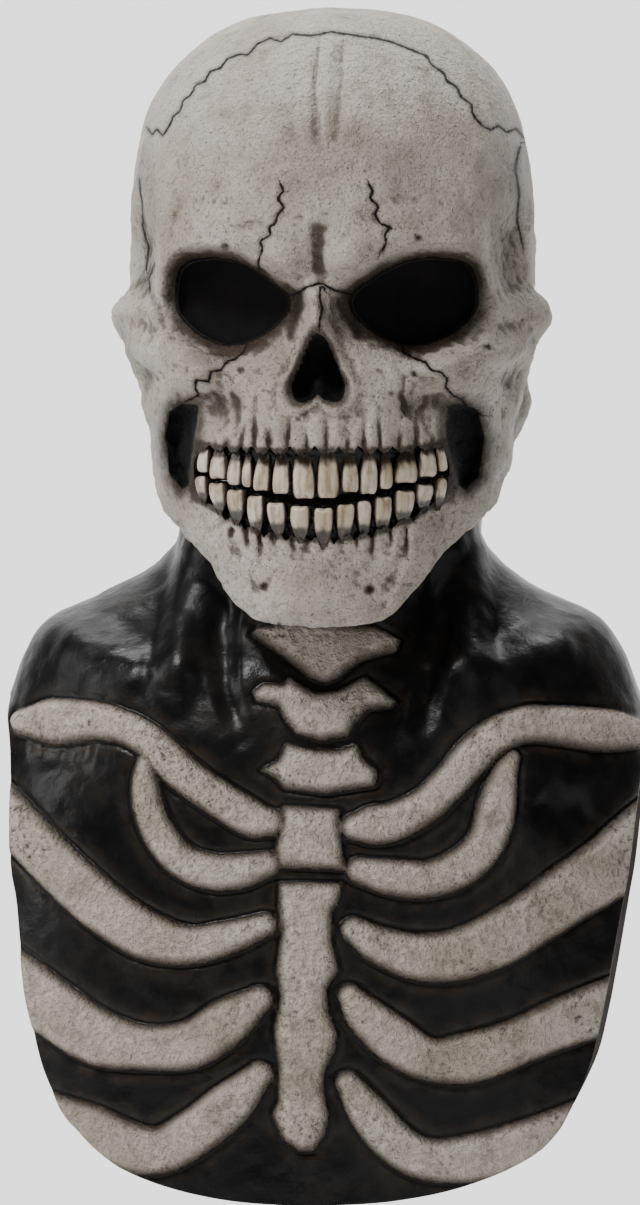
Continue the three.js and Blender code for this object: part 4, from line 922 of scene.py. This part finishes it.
def cut_openings(skull):
    for side in (-1, 1):
        boolean_cut(skull, prism("cutter", eye_outline(side, 1.0), -HALF_LENGTH - 30, -40, skull_paint))
    shares = np.linspace(-0.999, 0.999, 240)
    upper = [(s * MOUTH_WIDTH / 2, mouth_rim(s, 1) + scallop(s * MOUTH_WIDTH / 2, UPPER_TEETH, 1)) for s in shares]
    lower = [(s * MOUTH_WIDTH / 2, mouth_rim(s, 3) - scallop(s * MOUTH_WIDTH / 2, LOWER_TEETH, -1)) for s in shares]
    boolean_cut(skull, prism("cutter", upper + lower[::-1], -HALF_LENGTH - 30, -30, skull_paint))


# The teeth, from the wearer's right to left: across, width, top and bottom, in shares of the head
UPPER_TEETH = [
    (-0.57, 0.06, 0.719, 0.754), (-0.495, 0.085, 0.726, 0.764), (-0.41, 0.07, 0.731, 0.774),
    (-0.345, 0.05, 0.737, 0.778), (-0.271, 0.085, 0.737, 0.785), (-0.175, 0.09, 0.737, 0.789),
    (-0.065, 0.115, 0.735, 0.796), (0.055, 0.11, 0.727, 0.796), (0.16, 0.085, 0.736, 0.786),
    (0.25, 0.085, 0.728, 0.788), (0.33, 0.065, 0.735, 0.78), (0.425, 0.11, 0.731, 0.77),
    (0.525, 0.085, 0.721, 0.762), (0.59, 0.045, 0.719, 0.754),
]
LOWER_TEETH = [
    (-0.58, 0.06, 0.76, 0.79), (-0.5, 0.08, 0.771, 0.805), (-0.405, 0.09, 0.782, 0.82),
    (-0.305, 0.085, 0.792, 0.838), (-0.2, 0.095, 0.804, 0.842), (-0.085, 0.1, 0.808, 0.848),
    (0.03, 0.1, 0.808, 0.85), (0.135, 0.09, 0.805, 0.847), (0.225, 0.07, 0.799, 0.842),
    (0.315, 0.085, 0.792, 0.834), (0.415, 0.095, 0.782, 0.822), (0.51, 0.08, 0.772, 0.803),
    (0.585, 0.05, 0.762, 0.797),
]


def mouth_rim(share, column):
    """The opening's edge, drawn in to the line between the rows at both ends."""
    line, edge = mouth_edge(share, 2), mouth_edge(share, column)
    return line + (edge - line) * math.sqrt(1 - abs(share) ** 12)


def scallop(x, teeth, flip):
    """How far the bone is eaten back at x, most between the teeth."""
    eaten = -0.2 + 1.0 * noise.noise(Vector((x * 0.9, flip * 3.0, 1.5))) + 0.6 * noise.noise(Vector((x * 2.4, flip, 4.0)))
    for k, (across, wide, _, _) in enumerate(teeth):
        gap = (across + wide / 2) * HALF_WIDTH
        depth = 3.1 + 1.6 * noise.noise(Vector((k * 1.37, flip * 2.0, 0.7)))
        eaten += depth * max(0.0, 1 - abs((x - gap) / 2.3)) ** 0.8
    fade = 1 - abs(x / (MOUTH_WIDTH / 2)) ** 6
    return max(-0.8, min(eaten, 4.6)) * fade


GUM_REACH = 46.0
FRONT_ANGLES = np.linspace(0, 89, 60)


def front_depth(x, z):
    """Depth of the face's surface at a place, with the gums run on straight beyond their reach."""
    def inside_reach(px):
        places = np.linspace(8, JAW, 160)
        form = plain_form(FRONT_ANGLES * (1 if px >= 0 else -1), places)
        gap = np.abs(form[..., 0] - px) + np.abs(form[..., 2] - z)
        i, j = np.unravel_index(np.argmin(gap), gap.shape)
        i, j = min(max(i, 1), gap.shape[0] - 2), min(max(j, 1), gap.shape[1] - 2)
        angle = np.interp(abs(px), np.abs(form[i, :, 0]), FRONT_ANGLES)
        sign = 1 if px >= 0 else -1
        column = plain_form(np.array([sign * angle]), places)[:, 0]
        place = np.interp(-z, -column[:, 2], places)
        angle = np.interp(abs(px), np.abs(plain_form(FRONT_ANGLES * sign, np.array([place]))[0, :, 0]), FRONT_ANGLES)
        spot = plain_form(np.array([sign * angle]), np.array([place]))[0, 0]
        down = np.array([(CROWN - z) / HEAD_HEIGHT])
        return spot[1] - lens_sum(LENSES, np.array([abs(px)]), down, HALF_WIDTH, HALF_LENGTH)[0]

    if abs(x) <= GUM_REACH:
        return inside_reach(x)
    end = math.copysign(GUM_REACH, x)
    y0, y1 = inside_reach(end), inside_reach(end - math.copysign(3, x))
    return y0 + (y0 - y1) / math.copysign(3, x) * (x - end)


TOOTH_RINGS = [  # along, half width, forward, back: shares of the tooth's height, width and depth
    (-0.5, 0.12, -0.7, 0.2), (-0.3, 0.22, -0.3, 0.35), (-0.1, 0.32, 0.05, 0.5), (0.06, 0.39, 0.36, 0.6),
    (0.22, 0.445, 0.62, 0.7), (0.38, 0.485, 0.8, 0.8), (0.54, 0.507, 0.93, 0.85), (0.7, 0.51, 1.0, 0.85),
    (0.83, 0.495, 0.97, 0.8), (0.92, 0.45, 0.82, 0.7), (0.975, 0.36, 0.58, 0.55), (1.0, 0.22, 0.3, 0.35),
]
TOOTH_SIDES = 22
TOOTH_BULGE, TOOTH_BODY = 3.0, 4.2


def tooth_points(row, biting_down, k):
    across, wide, top, bottom = row
    x = across * HALF_WIDTH
    z_top, z_bottom = CROWN - top * HEAD_HEIGHT, CROWN - bottom * HEAD_HEIGHT
    gum, bite = (z_top, z_bottom) if biting_down else (z_bottom, z_top)
    middle = (gum + bite) / 2
    slope = (front_depth(x + 2, middle) - front_depth(x - 2, middle)) / 4
    side = np.array([1, slope, 0]) / math.hypot(1, slope)
    out = np.array([slope, -1, 0]) / math.hypot(1, slope)
    base = np.array([x, front_depth(x, middle), 0])
    width = wide * HALF_WIDTH / side[0] * 0.97
    lean = 0.16 * noise.noise(Vector((k * 1.7, biting_down * 4.0, 0.3)))
    gum, bite = (v + 1.1 * noise.noise(Vector((k * 2.1, 7.0, biting_down * 3.0))) for v in (gum, bite))
    rows, root = [], []
    for along, half, forward, backward in TOOTH_RINGS:
        z = gum + (bite - gum) * along
        turn = np.linspace(0, 2 * math.pi, TOOTH_SIDES, endpoint=False)
        sx, sy = np.cos(turn), np.sin(turn)
        flat = np.sign(sx) * np.abs(sx) ** 0.8 * half * width
        # The front face is flatter than the back, with a slight ridge down each side
        front = np.where(sy > 0, np.abs(sy) ** 0.62 * forward * TOOTH_BULGE, -np.abs(sy) ** 0.8 * backward * TOOTH_BODY)
        cusp = 0.0
        if width > 8.0 and along > 0.75:
            cusp = 0.55 * np.cos(2.2 * math.pi * flat / width) * (1 if biting_down else -1)
        jitter = [0.22 * noise.noise(Vector((a * 0.5, z * 0.35, k * 2.3 + biting_down))) for a in flat]
        p = base + side * (flat + lean * (z - middle) + jitter)[:, None] + out * (front + np.array(jitter) * 1.2 - 0.9)[:, None]
        p[:, 2] = z + cusp * np.ones(TOOTH_SIDES)
        rows.append(p)
        # Marks for the colour: painted shade down the sides and back of each tooth, where it sits among the others, and
        # a stain at its gum end
        sides = smooth(np.abs(sx), 0.55, 1.0) * 0.9
        root.append(np.maximum(1 - smooth(along, -0.05, 0.42), np.maximum(sides, 0.9 * smooth(-sy, -0.1, 0.3))))
    return np.array(rows), np.array(root)


def strip_points(top_at, bottom_at, seed):
    """The gum behind the teeth: a lumpy strip that lies near the surface at its root edge."""
    columns, rows = 150, 20
    front, back = [], []
    for i in range(columns):
        x = (i / (columns - 1) - 0.5) * (MOUTH_WIDTH - 1.0)
        share = 2 * x / MOUTH_WIDTH
        top, bottom = top_at(share), bottom_at(share)
        slope = (front_depth(x + 2, (top + bottom) / 2) - front_depth(x - 2, (top + bottom) / 2)) / 4
        out = np.array([slope, -1, 0]) / math.hypot(1, slope)
        depths = [front_depth(x, z) for z in (top, (top + bottom) / 2, bottom)]
        for j in range(rows):
            t = j / (rows - 1)
            z = top + (bottom - top) * t
            y = np.interp(t, [0, 0.5, 1], depths)
            lump = noise.noise(Vector((x * 0.45, z * 0.5, seed))) + 0.5 * noise.noise(Vector((x * 1.3, z * 1.3, seed)))
            front.append(np.array([x, y, z]) - out * (3.1 - 1.0 * lump))
            back.append(np.array([x, y, z]) - out * 5.4)
    return np.array(front).reshape(columns, rows, 3), np.array(back).reshape(columns, rows, 3)


def make_teeth(name, teeth, biting_down, top_at, bottom_at, seed):
    vertices, faces, marks, root = [], [], [], []
    count = 0
    front, back = strip_points(top_at, bottom_at, seed)
    columns, rows = front.shape[:2]
    for grid, flip in ((front, False), (back, True)):
        for i in range(columns - 1):
            for j in range(rows - 1):
                quad = [count + i * rows + j, count + i * rows + j + 1, count + (i + 1) * rows + j + 1, count + (i + 1) * rows + j]
                faces.append(quad[::-1] if flip else quad)
                marks.append(1)
        vertices.append(grid.reshape(-1, 3))
        root.append(np.ones(columns * rows))
        count += columns * rows
    rim = [(i, 0) for i in range(columns)] + [(columns - 1, j) for j in range(1, rows)]
    rim += [(i, rows - 1) for i in range(columns - 2, -1, -1)] + [(0, j) for j in range(rows - 2, 0, -1)]
    offset = columns * rows
    for (i, j), (a, b) in zip(rim, rim[1:] + rim[:1]):
        p, q = i * rows + j, a * rows + b
        faces.append([p, q, q + offset, p + offset])
        marks.append(1)
    for k, row in enumerate(teeth):
        p, r = tooth_points(row, biting_down, k)
        n = TOOTH_SIDES
        for i in range(len(p) - 1):
            for j in range(n):
                quad = [count + i * n + j, count + i * n + (j + 1) % n, count + (i + 1) * n + (j + 1) % n, count + (i + 1) * n + j]
                faces.append(quad if biting_down else quad[::-1])
                marks.append(0)
        ends = [list(range(count, count + n)), list(range(count + (len(p) - 1) * n, count + len(p) * n))]
        faces.append(ends[0][::-1] if biting_down else ends[0])
        faces.append(ends[1] if biting_down else ends[1][::-1])
        marks += [0, 0]
        vertices.append(p.reshape(-1, 3))
        root.append(r.ravel())
        count += p.shape[0] * n
    obj = mesh_object(name, np.vstack(vertices), faces, [ivory, gum], marks)
    add_attribute(obj, "root", np.concatenate(root))
    return obj


def make_eye_mesh(name, side):
    """A panel of see-through mesh behind an eye opening, a little slack."""
    rings, count = 12, 72
    outline = np.array(eye_outline(side, 1.06, count))
    middle = np.array([side * EYE_SPACING / 2, CROWN - EYE_DOWN * HEAD_HEIGHT])
    slant = math.hypot(1, EYE_TILT)
    layers = []
    for depth in (WALL + 0.9, WALL + 1.9):
        points = []
        for r in range(1, rings + 1):
            for px, pz in middle + (outline - middle) * r / rings:
                sag = 1.6 * (1 - (r / rings) ** 2) + 0.5 * noise.noise(Vector((px * 0.12, pz * 0.12, side)))
                points.append((px, eye_floor(px) + depth * slant + max(sag, 0) * (depth > 0), pz))
        points.append((middle[0], eye_floor(middle[0]) + depth * slant + 1.6, middle[1]))
        layers.append(np.array(points))
    n = len(layers[0])
    faces = []
    for layer in range(2):
        first = layer * n
        flip = (layer == 0) == (side < 0)
        quads = [[first + i * count + j, first + i * count + (j + 1) % count, first + (i + 1) * count + (j + 1) % count,
                  first + (i + 1) * count + j] for i in range(rings - 1) for j in range(count)]
        fans = [[first + n - 1, first + (j + 1) % count, first + j] for j in range(count)]
        faces += [f[::-1] if flip else f for f in quads + fans]
    last = (rings - 1) * count
    wall = [[last + j, last + (j + 1) % count, n + last + (j + 1) % count, n + last + j] for j in range(count)]
    faces += wall if side > 0 else [f[::-1] for f in wall]
    panel = mesh_object(name, np.vstack(layers), faces, [gauze])
    return panel


# The bib


def bib_x(across):
    return BIB_SHIFT + np.asarray(across) * SHOULDER_WIDTH / 2


def bib_z(down):
    return CHIN - np.asarray(down) * BIB_DROP


# Bones that follow a line, as in the part's source: across, down and half width
STROKES = [
    [(-0.93, 0.171, 0.047), (-0.83, 0.169, 0.073), (-0.705, 0.166, 0.063), (-0.604, 0.175, 0.054), (-0.516, 0.198, 0.054),
     (-0.446, 0.235, 0.06), (-0.374, 0.268, 0.06), (-0.279, 0.303, 0.06), (-0.185, 0.333, 0.06), (-0.131, 0.339, 0.045)],
    [(1.0, 0.19, 0.047), (0.897, 0.183, 0.066), (0.762, 0.173, 0.062), (0.651, 0.171, 0.057), (0.566, 0.189, 0.06),
     (0.494, 0.224, 0.063), (0.424, 0.27, 0.06), (0.352, 0.309, 0.06), (0.257, 0.337, 0.063), (0.178, 0.344, 0.063),
     (0.131, 0.347, 0.045)],
    [(-0.522, 0.236, 0.028), (-0.525, 0.268, 0.044), (-0.513, 0.312, 0.054), (-0.475, 0.362, 0.057), (-0.405, 0.406, 0.057),
     (-0.311, 0.425, 0.06), (-0.216, 0.423, 0.057), (-0.14, 0.411, 0.044)],
    [(0.614, 0.228, 0.025), (0.588, 0.259, 0.044), (0.566, 0.312, 0.063), (0.538, 0.369, 0.063), (0.472, 0.411, 0.063),
     (0.368, 0.436, 0.06), (0.257, 0.434, 0.06), (0.15, 0.422, 0.046)],
    [(-1.021, 0.309, 0.082), (-0.945, 0.347, 0.082), (-0.856, 0.393, 0.082), (-0.752, 0.446, 0.085), (-0.636, 0.497, 0.082),
     (-0.516, 0.536, 0.079), (-0.383, 0.552, 0.063), (-0.248, 0.536, 0.054), (-0.144, 0.515, 0.041)],
    [(1.062, 0.347, 0.1), (0.992, 0.379, 0.1), (0.904, 0.422, 0.1), (0.793, 0.462, 0.095), (0.683, 0.503, 0.088),
     (0.573, 0.541, 0.088), (0.446, 0.568, 0.082), (0.33, 0.57, 0.076), (0.216, 0.552, 0.063), (0.13, 0.524, 0.044)],
    [(-0.989, 0.598, 0.091), (-0.91, 0.63, 0.095), (-0.806, 0.67, 0.095), (-0.674, 0.713, 0.091), (-0.516, 0.73, 0.073),
     (-0.374, 0.723, 0.076), (-0.263, 0.684, 0.076), (-0.16, 0.644, 0.046)],
    [(0.998, 0.644, 0.085), (0.904, 0.661, 0.085), (0.778, 0.686, 0.082), (0.636, 0.718, 0.076), (0.494, 0.744, 0.082),
     (0.368, 0.748, 0.069), (0.257, 0.714, 0.076), (0.162, 0.67, 0.063), (0.118, 0.637, 0.041)],
    [(-0.879, 0.832, 0.057), (-0.8, 0.85, 0.063), (-0.689, 0.873, 0.076), (-0.563, 0.903, 0.079), (-0.468, 0.907, 0.076),
     (-0.358, 0.873, 0.076), (-0.248, 0.824, 0.072), (-0.158, 0.774, 0.044)],
    [(0.888, 0.85, 0.076), (0.778, 0.873, 0.076), (0.651, 0.898, 0.079), (0.509, 0.917, 0.076), (0.374, 0.922, 0.069),
     (0.273, 0.898, 0.069), (0.185, 0.845, 0.066), (0.115, 0.788, 0.042)],
]
# Bones with a drawn outline: the breastbone and three vertebrae
PLATES = [
    [(-0.09, 0.31), (0.09, 0.314), (0.084, 0.342), (0.099, 0.384), (0.103, 0.422), (-0.103, 0.418), (-0.115, 0.384),
     (-0.099, 0.347)],
    [(-0.103, 0.441), (0.099, 0.441), (0.09, 0.473), (0.068, 0.492), (0.065, 0.541), (0.09, 0.591), (0.052, 0.626),
     (0.055, 0.663), (0.084, 0.702), (0.077, 0.732), (0.043, 0.772), (0.039, 0.799), (0.058, 0.843), (0.043, 0.88),
     (0.011, 0.907), (-0.039, 0.908), (-0.093, 0.887), (-0.125, 0.843), (-0.106, 0.817), (-0.103, 0.762),
     (-0.118, 0.693), (-0.099, 0.642), (-0.112, 0.593), (-0.093, 0.522), (-0.106, 0.487)],
    [(-0.203, 0.014), (-0.181, 0.002), (-0.074, -0.009), (0.052, -0.009), (0.185, 0.0), (0.267, 0.025), (0.254, 0.044),
     (0.147, 0.06), (0.074, 0.093), (0.036, 0.101), (-0.011, 0.093), (-0.065, 0.067), (-0.131, 0.041)],
    [(-0.191, 0.115), (-0.156, 0.099), (-0.096, 0.101), (-0.08, 0.085), (0.008, 0.113), (0.074, 0.111), (0.159, 0.086),
     (0.207, 0.104), (0.26, 0.129), (0.238, 0.141), (0.172, 0.145), (0.134, 0.169), (0.112, 0.192), (0.027, 0.201),
     (-0.052, 0.189), (-0.09, 0.162), (-0.112, 0.139), (-0.178, 0.132)],
    [(-0.166, 0.249), (-0.109, 0.231), (-0.08, 0.201), (0.002, 0.213), (0.074, 0.213), (0.14, 0.201), (0.159, 0.226),
     (0.203, 0.249), (0.2, 0.277), (0.128, 0.284), (0.039, 0.291), (-0.087, 0.282), (-0.118, 0.263)],
]
HEM = [
    (0.127, -0.985, 1.02), (0.16, -0.99, 1.02), (0.206, -0.975, 1.02), (0.277, -0.965, 1.002), (0.418, -0.961, 0.973),
    (0.489, -0.938, 0.951), (0.63, -0.912, 0.907), (0.7, -0.882, 0.882), (0.771, -0.847, 0.85), (0.841, -0.787, 0.793),
    (0.877, -0.73, 0.755), (0.912, -0.664, 0.69), (0.947, -0.57, 0.57), (0.975, -0.42, 0.42), (0.993, -0.25, 0.24),
    (1.0, -0.08, 0.06),
]
BONE_RISE = 7.0
# Soft folds of the black neck and shoulders: half width, height and the line, in the photograph's places
NECK_FOLDS = [
    (15.0, 6.0, read_line((196, 520), (188, 580), (180, 640), (172, 690))),
    (15.0, 5.0, read_line((452, 520), (458, 580), (462, 640), (468, 690))),
    (9.0, -3.5, read_line((222, 560), (218, 620), (222, 680), (240, 730))),
    (9.0, -3.0, read_line((428, 560), (430, 620), (424, 690), (410, 740))),
    (22.0, 3.5, read_line((60, 640), (100, 660), (150, 690))),
    (22.0, 3.5, read_line((585, 640), (540, 660), (490, 690))),
    (12.0, -2.5, read_line((30, 750), (70, 745), (110, 750))),
    (14.0, -2.5, read_line((540, 790), (570, 810), (600, 800))),
]


def smooth_line(rows, steps=6):
    """A finer Catmull-Rom line through rows of numbers."""
    p = np.asarray(rows, float)
    p = np.vstack([2 * p[0] - p[1], p, 2 * p[-1] - p[-2]])
    out = []
    for i in range(1, len(p) - 2):
        for t in np.arange(steps) / steps:
            a, b, c, d = p[i - 1:i + 3]
            out.append(0.5 * (2 * b + (c - a) * t + (2 * a - 5 * b + 4 * c - d) * t * t + (3 * b - a - 3 * c + d) * t ** 3))
    out.append(p[-2])
    return np.array(out)


def bone_height(x, z):
    """Height of the raised bones, and the distance inside the nearest bone's edge."""
    height, depth = np.zeros_like(x), np.full(x.shape, -30.0)
    crown = []
    for rows in STROKES:
        fine = smooth_line(rows)
        line = np.stack([bib_x(fine[:, 0]), bib_z(fine[:, 1])], -1)
        lengths = np.concatenate([[0], np.cumsum(np.hypot(*np.diff(line, axis=0).T))])
        dist, _, place = line_distance(x, z, line)
        half = np.interp(place, lengths / lengths[-1], fine[:, 2] * SHOULDER_WIDTH / 2)
        crown.append(half - dist)
    for outline in PLATES:
        points = [(float(bib_x(a)), float(bib_z(d))) for a, d in outline]
        crown.append(polygon_depth(x, z, points))
    for inside_by in crown:
        rounded = np.clip(inside_by / BONE_RISE, 0, 1)
        height = np.maximum(height, BONE_LIFT * (1 - (1 - rounded) ** 2.3))
        depth = np.maximum(depth, inside_by)
    height -= 0.9 * np.exp(-((depth + 0.6) / 1.1) ** 2)
    return height, depth


def dress_bib(p, angles, inset):
    n = grid_normals(p)
    q = p - n * inset
    x, z = q[..., 0], q[..., 2]
    front = smooth(np.cos(np.radians(angles)), 0.02, 0.12)[None] * np.ones_like(x)
    fold = np.zeros_like(x)
    for width, height, line in NECK_FOLDS:
        dist, _, place = line_distance(x, z, line)
        fold += height * bell(dist, width) * (0.3 + 0.7 * smooth(place, 0, 0.2) * (1 - smooth(place, 0.8, 1)))
    height, depth = bone_height(x, z) if inset == 0 else (np.zeros_like(x), np.full(x.shape, -30.0))
    q = q + n * (front * (fold + height))[..., None]
    return q, np.where(front > 0.3, depth, -30.0)


def make_bib():
    angles = column_angles(78, 0.62, 4.0)
    dense = np.linspace(TUCK, LAST, 900)
    profile = plain_form(np.array([25.0]), dense)[:, 0]
    arc = np.concatenate([[0], np.cumsum(np.linalg.norm(np.diff(profile, axis=0), axis=1))])
    places = spaced(dense, arc, np.full(dense.shape, 1.35))
    outer, bone = dress_bib(plain_form(angles, places), angles, 0)
    on_bone = smooth(bone, 0, 2)
    lumpy = lumps(outer, 30.0, 0.9, 5) + lumps(outer, 8.0, 0.35, 6) + on_bone * (lumps(outer, 4.0, 0.5, 7) + lumps(outer, 2.6, 0.3, 8))
    outer = outer + grid_normals(outer) * lumpy[..., None]
    inner_angles = column_angles(78, 4.0, 6.5)
    inner_places = spaced(dense, arc, np.full(dense.shape, 5.0))
    inner, _ = dress_bib(plain_form(inner_angles, inner_places), inner_angles, WALL)
    rows, columns = outer.shape[:2]
    inner_rows, inner_columns = inner.shape[:2]
    first_inner = rows * columns
    faces = grid_faces(rows, columns)
    marks = [0] * len(faces)
    inner_faces = grid_faces(inner_rows, inner_columns, first_inner, flipped=True)
    inner_faces += zip_rows((rows - 1) * columns, angles, first_inner + (inner_rows - 1) * inner_columns, inner_angles)
    top = [f[::-1] for f in zip_rows(0, angles, first_inner, inner_angles)]
    faces += inner_faces + top
    marks += [1] * (len(inner_faces) + len(top))
    vertices = np.vstack([outer.reshape(-1, 3), inner.reshape(-1, 3)])
    bib = mesh_object("neck_and_bib", vertices, faces, [bib_paint, inside], marks)
    add_attribute(bib, "bone", np.concatenate([bone.ravel(), np.full(len(inner.reshape(-1, 3)), -30.0)]))
    right = smooth_line([(float(bib_x(r)), float(bib_z(d))) for d, r, _ in HEM], 4)
    left = smooth_line([(float(bib_x(l)), float(bib_z(d))) for d, _, l in HEM], 4)
    far, low = SHOULDER_WIDTH, CHIN - BIB_DROP - 90
    outline = [(-far, right[0][1]), *map(tuple, right), *map(tuple, left[::-1]), (far, left[0][1]), (far, low), (-far, low)]
    boolean_cut(bib, prism("cutter", outline, -CHEST_DEPTH, CHEST_DEPTH, bib_paint))
    return bib


skull = make_skull()
cut_openings(skull)
bib = make_bib()
upper_teeth = make_teeth("teeth_upper", UPPER_TEETH, True, lambda s: mouth_edge(s, 1) + 4.0 * (1 - (s / 0.95) ** 4),
                         lambda s: mouth_edge(s, 2) + 1.6, 2.0)
lower_teeth = make_teeth("teeth_lower", LOWER_TEETH, False, lambda s: mouth_edge(s, 2) - 1.6,
                         lambda s: mouth_edge(s, 3) - 4.0 * (1 - (s / 0.95) ** 4), 7.0)
meshes = {side: make_eye_mesh(f"gauze_{name}", side) for side, name in ((-1, "right"), (1, "left"))}

for piece, slot in ((skull, "painted_latex"), (bib, "painted_latex"), (upper_teeth, "teeth"), (lower_teeth, "teeth"),
                    (meshes[-1], "eye_mesh"), (meshes[1], "eye_mesh")):
    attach(piece, "root")
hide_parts("mask_skin")
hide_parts("mask_skin")
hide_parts("upper_teeth")
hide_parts("lower_teeth")
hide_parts("eye_mesh_right")
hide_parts("eye_mesh_left")

# Floor, backdrop and light


def make_stage():
    floor_z, wall_y, bend, reach = -0.64, 2.6, 1.2, 6.0
    profile = [(-reach, floor_z), (wall_y - bend, floor_z)]
    for turn in np.linspace(0, math.pi / 2, 14)[1:]:
        profile.append((wall_y - bend + bend * math.sin(turn), floor_z + bend * (1 - math.cos(turn))))
    profile.append((wall_y, floor_z + 5.0))
    points = [(side * reach, y, z) for side in (-1, 1) for y, z in profile]
    n = len(profile)
    faces = [[i, i + n, i + n + 1, i + 1] for i in range(n - 1)]
    m = Nodes("studio_paper")
    colour = m.mix(m.ramp(m.noise(3, 2), 0.3, 0.7), (0.8, 0.8, 0.8), (0.83, 0.83, 0.83))
    paper = m.finish(Base_Color=colour, Roughness=0.9)
    floor = mesh_object("floor", np.array(points) / MM, faces, [paper])


def area_light(name, place, target, size, power):
    data = bpy.data.lights.new(name, "AREA")
    data.shape = "RECTANGLE"
    data.size, data.size_y = size
    data.energy = power
    light = bpy.data.objects.new(name, data)
    light.location = place
    light.rotation_mode = "QUATERNION"
    light.rotation_quaternion = (Vector(target) - Vector(place)).to_track_quat("-Z", "Y")
    bpy.context.scene.collection.objects.link(light)


make_stage()
area_light("key", (-1.0, -1.55, 2.0), (0, 0, -0.26), (0.45, 0.45), 88)
area_light("fill", (1.3, -2.8, 0.1), (0, 0, -0.3), (1.2, 1.6), 9)
area_light("side", (-1.8, -0.5, 0.35), (0, 0, -0.2), (0.3, 1.3), 17)
area_light("backdrop", (0.0, 1.0, 2.6), (0, 2.6, -0.3), (3.0, 0.8), 190)
world = bpy.data.worlds.new("studio")
bpy.context.scene.world = world
world.use_nodes = True
world.node_tree.nodes["Background"].inputs["Color"].default_value = (1.0, 1.0, 1.0, 1)
world.node_tree.nodes["Background"].inputs["Strength"].default_value = 0.06
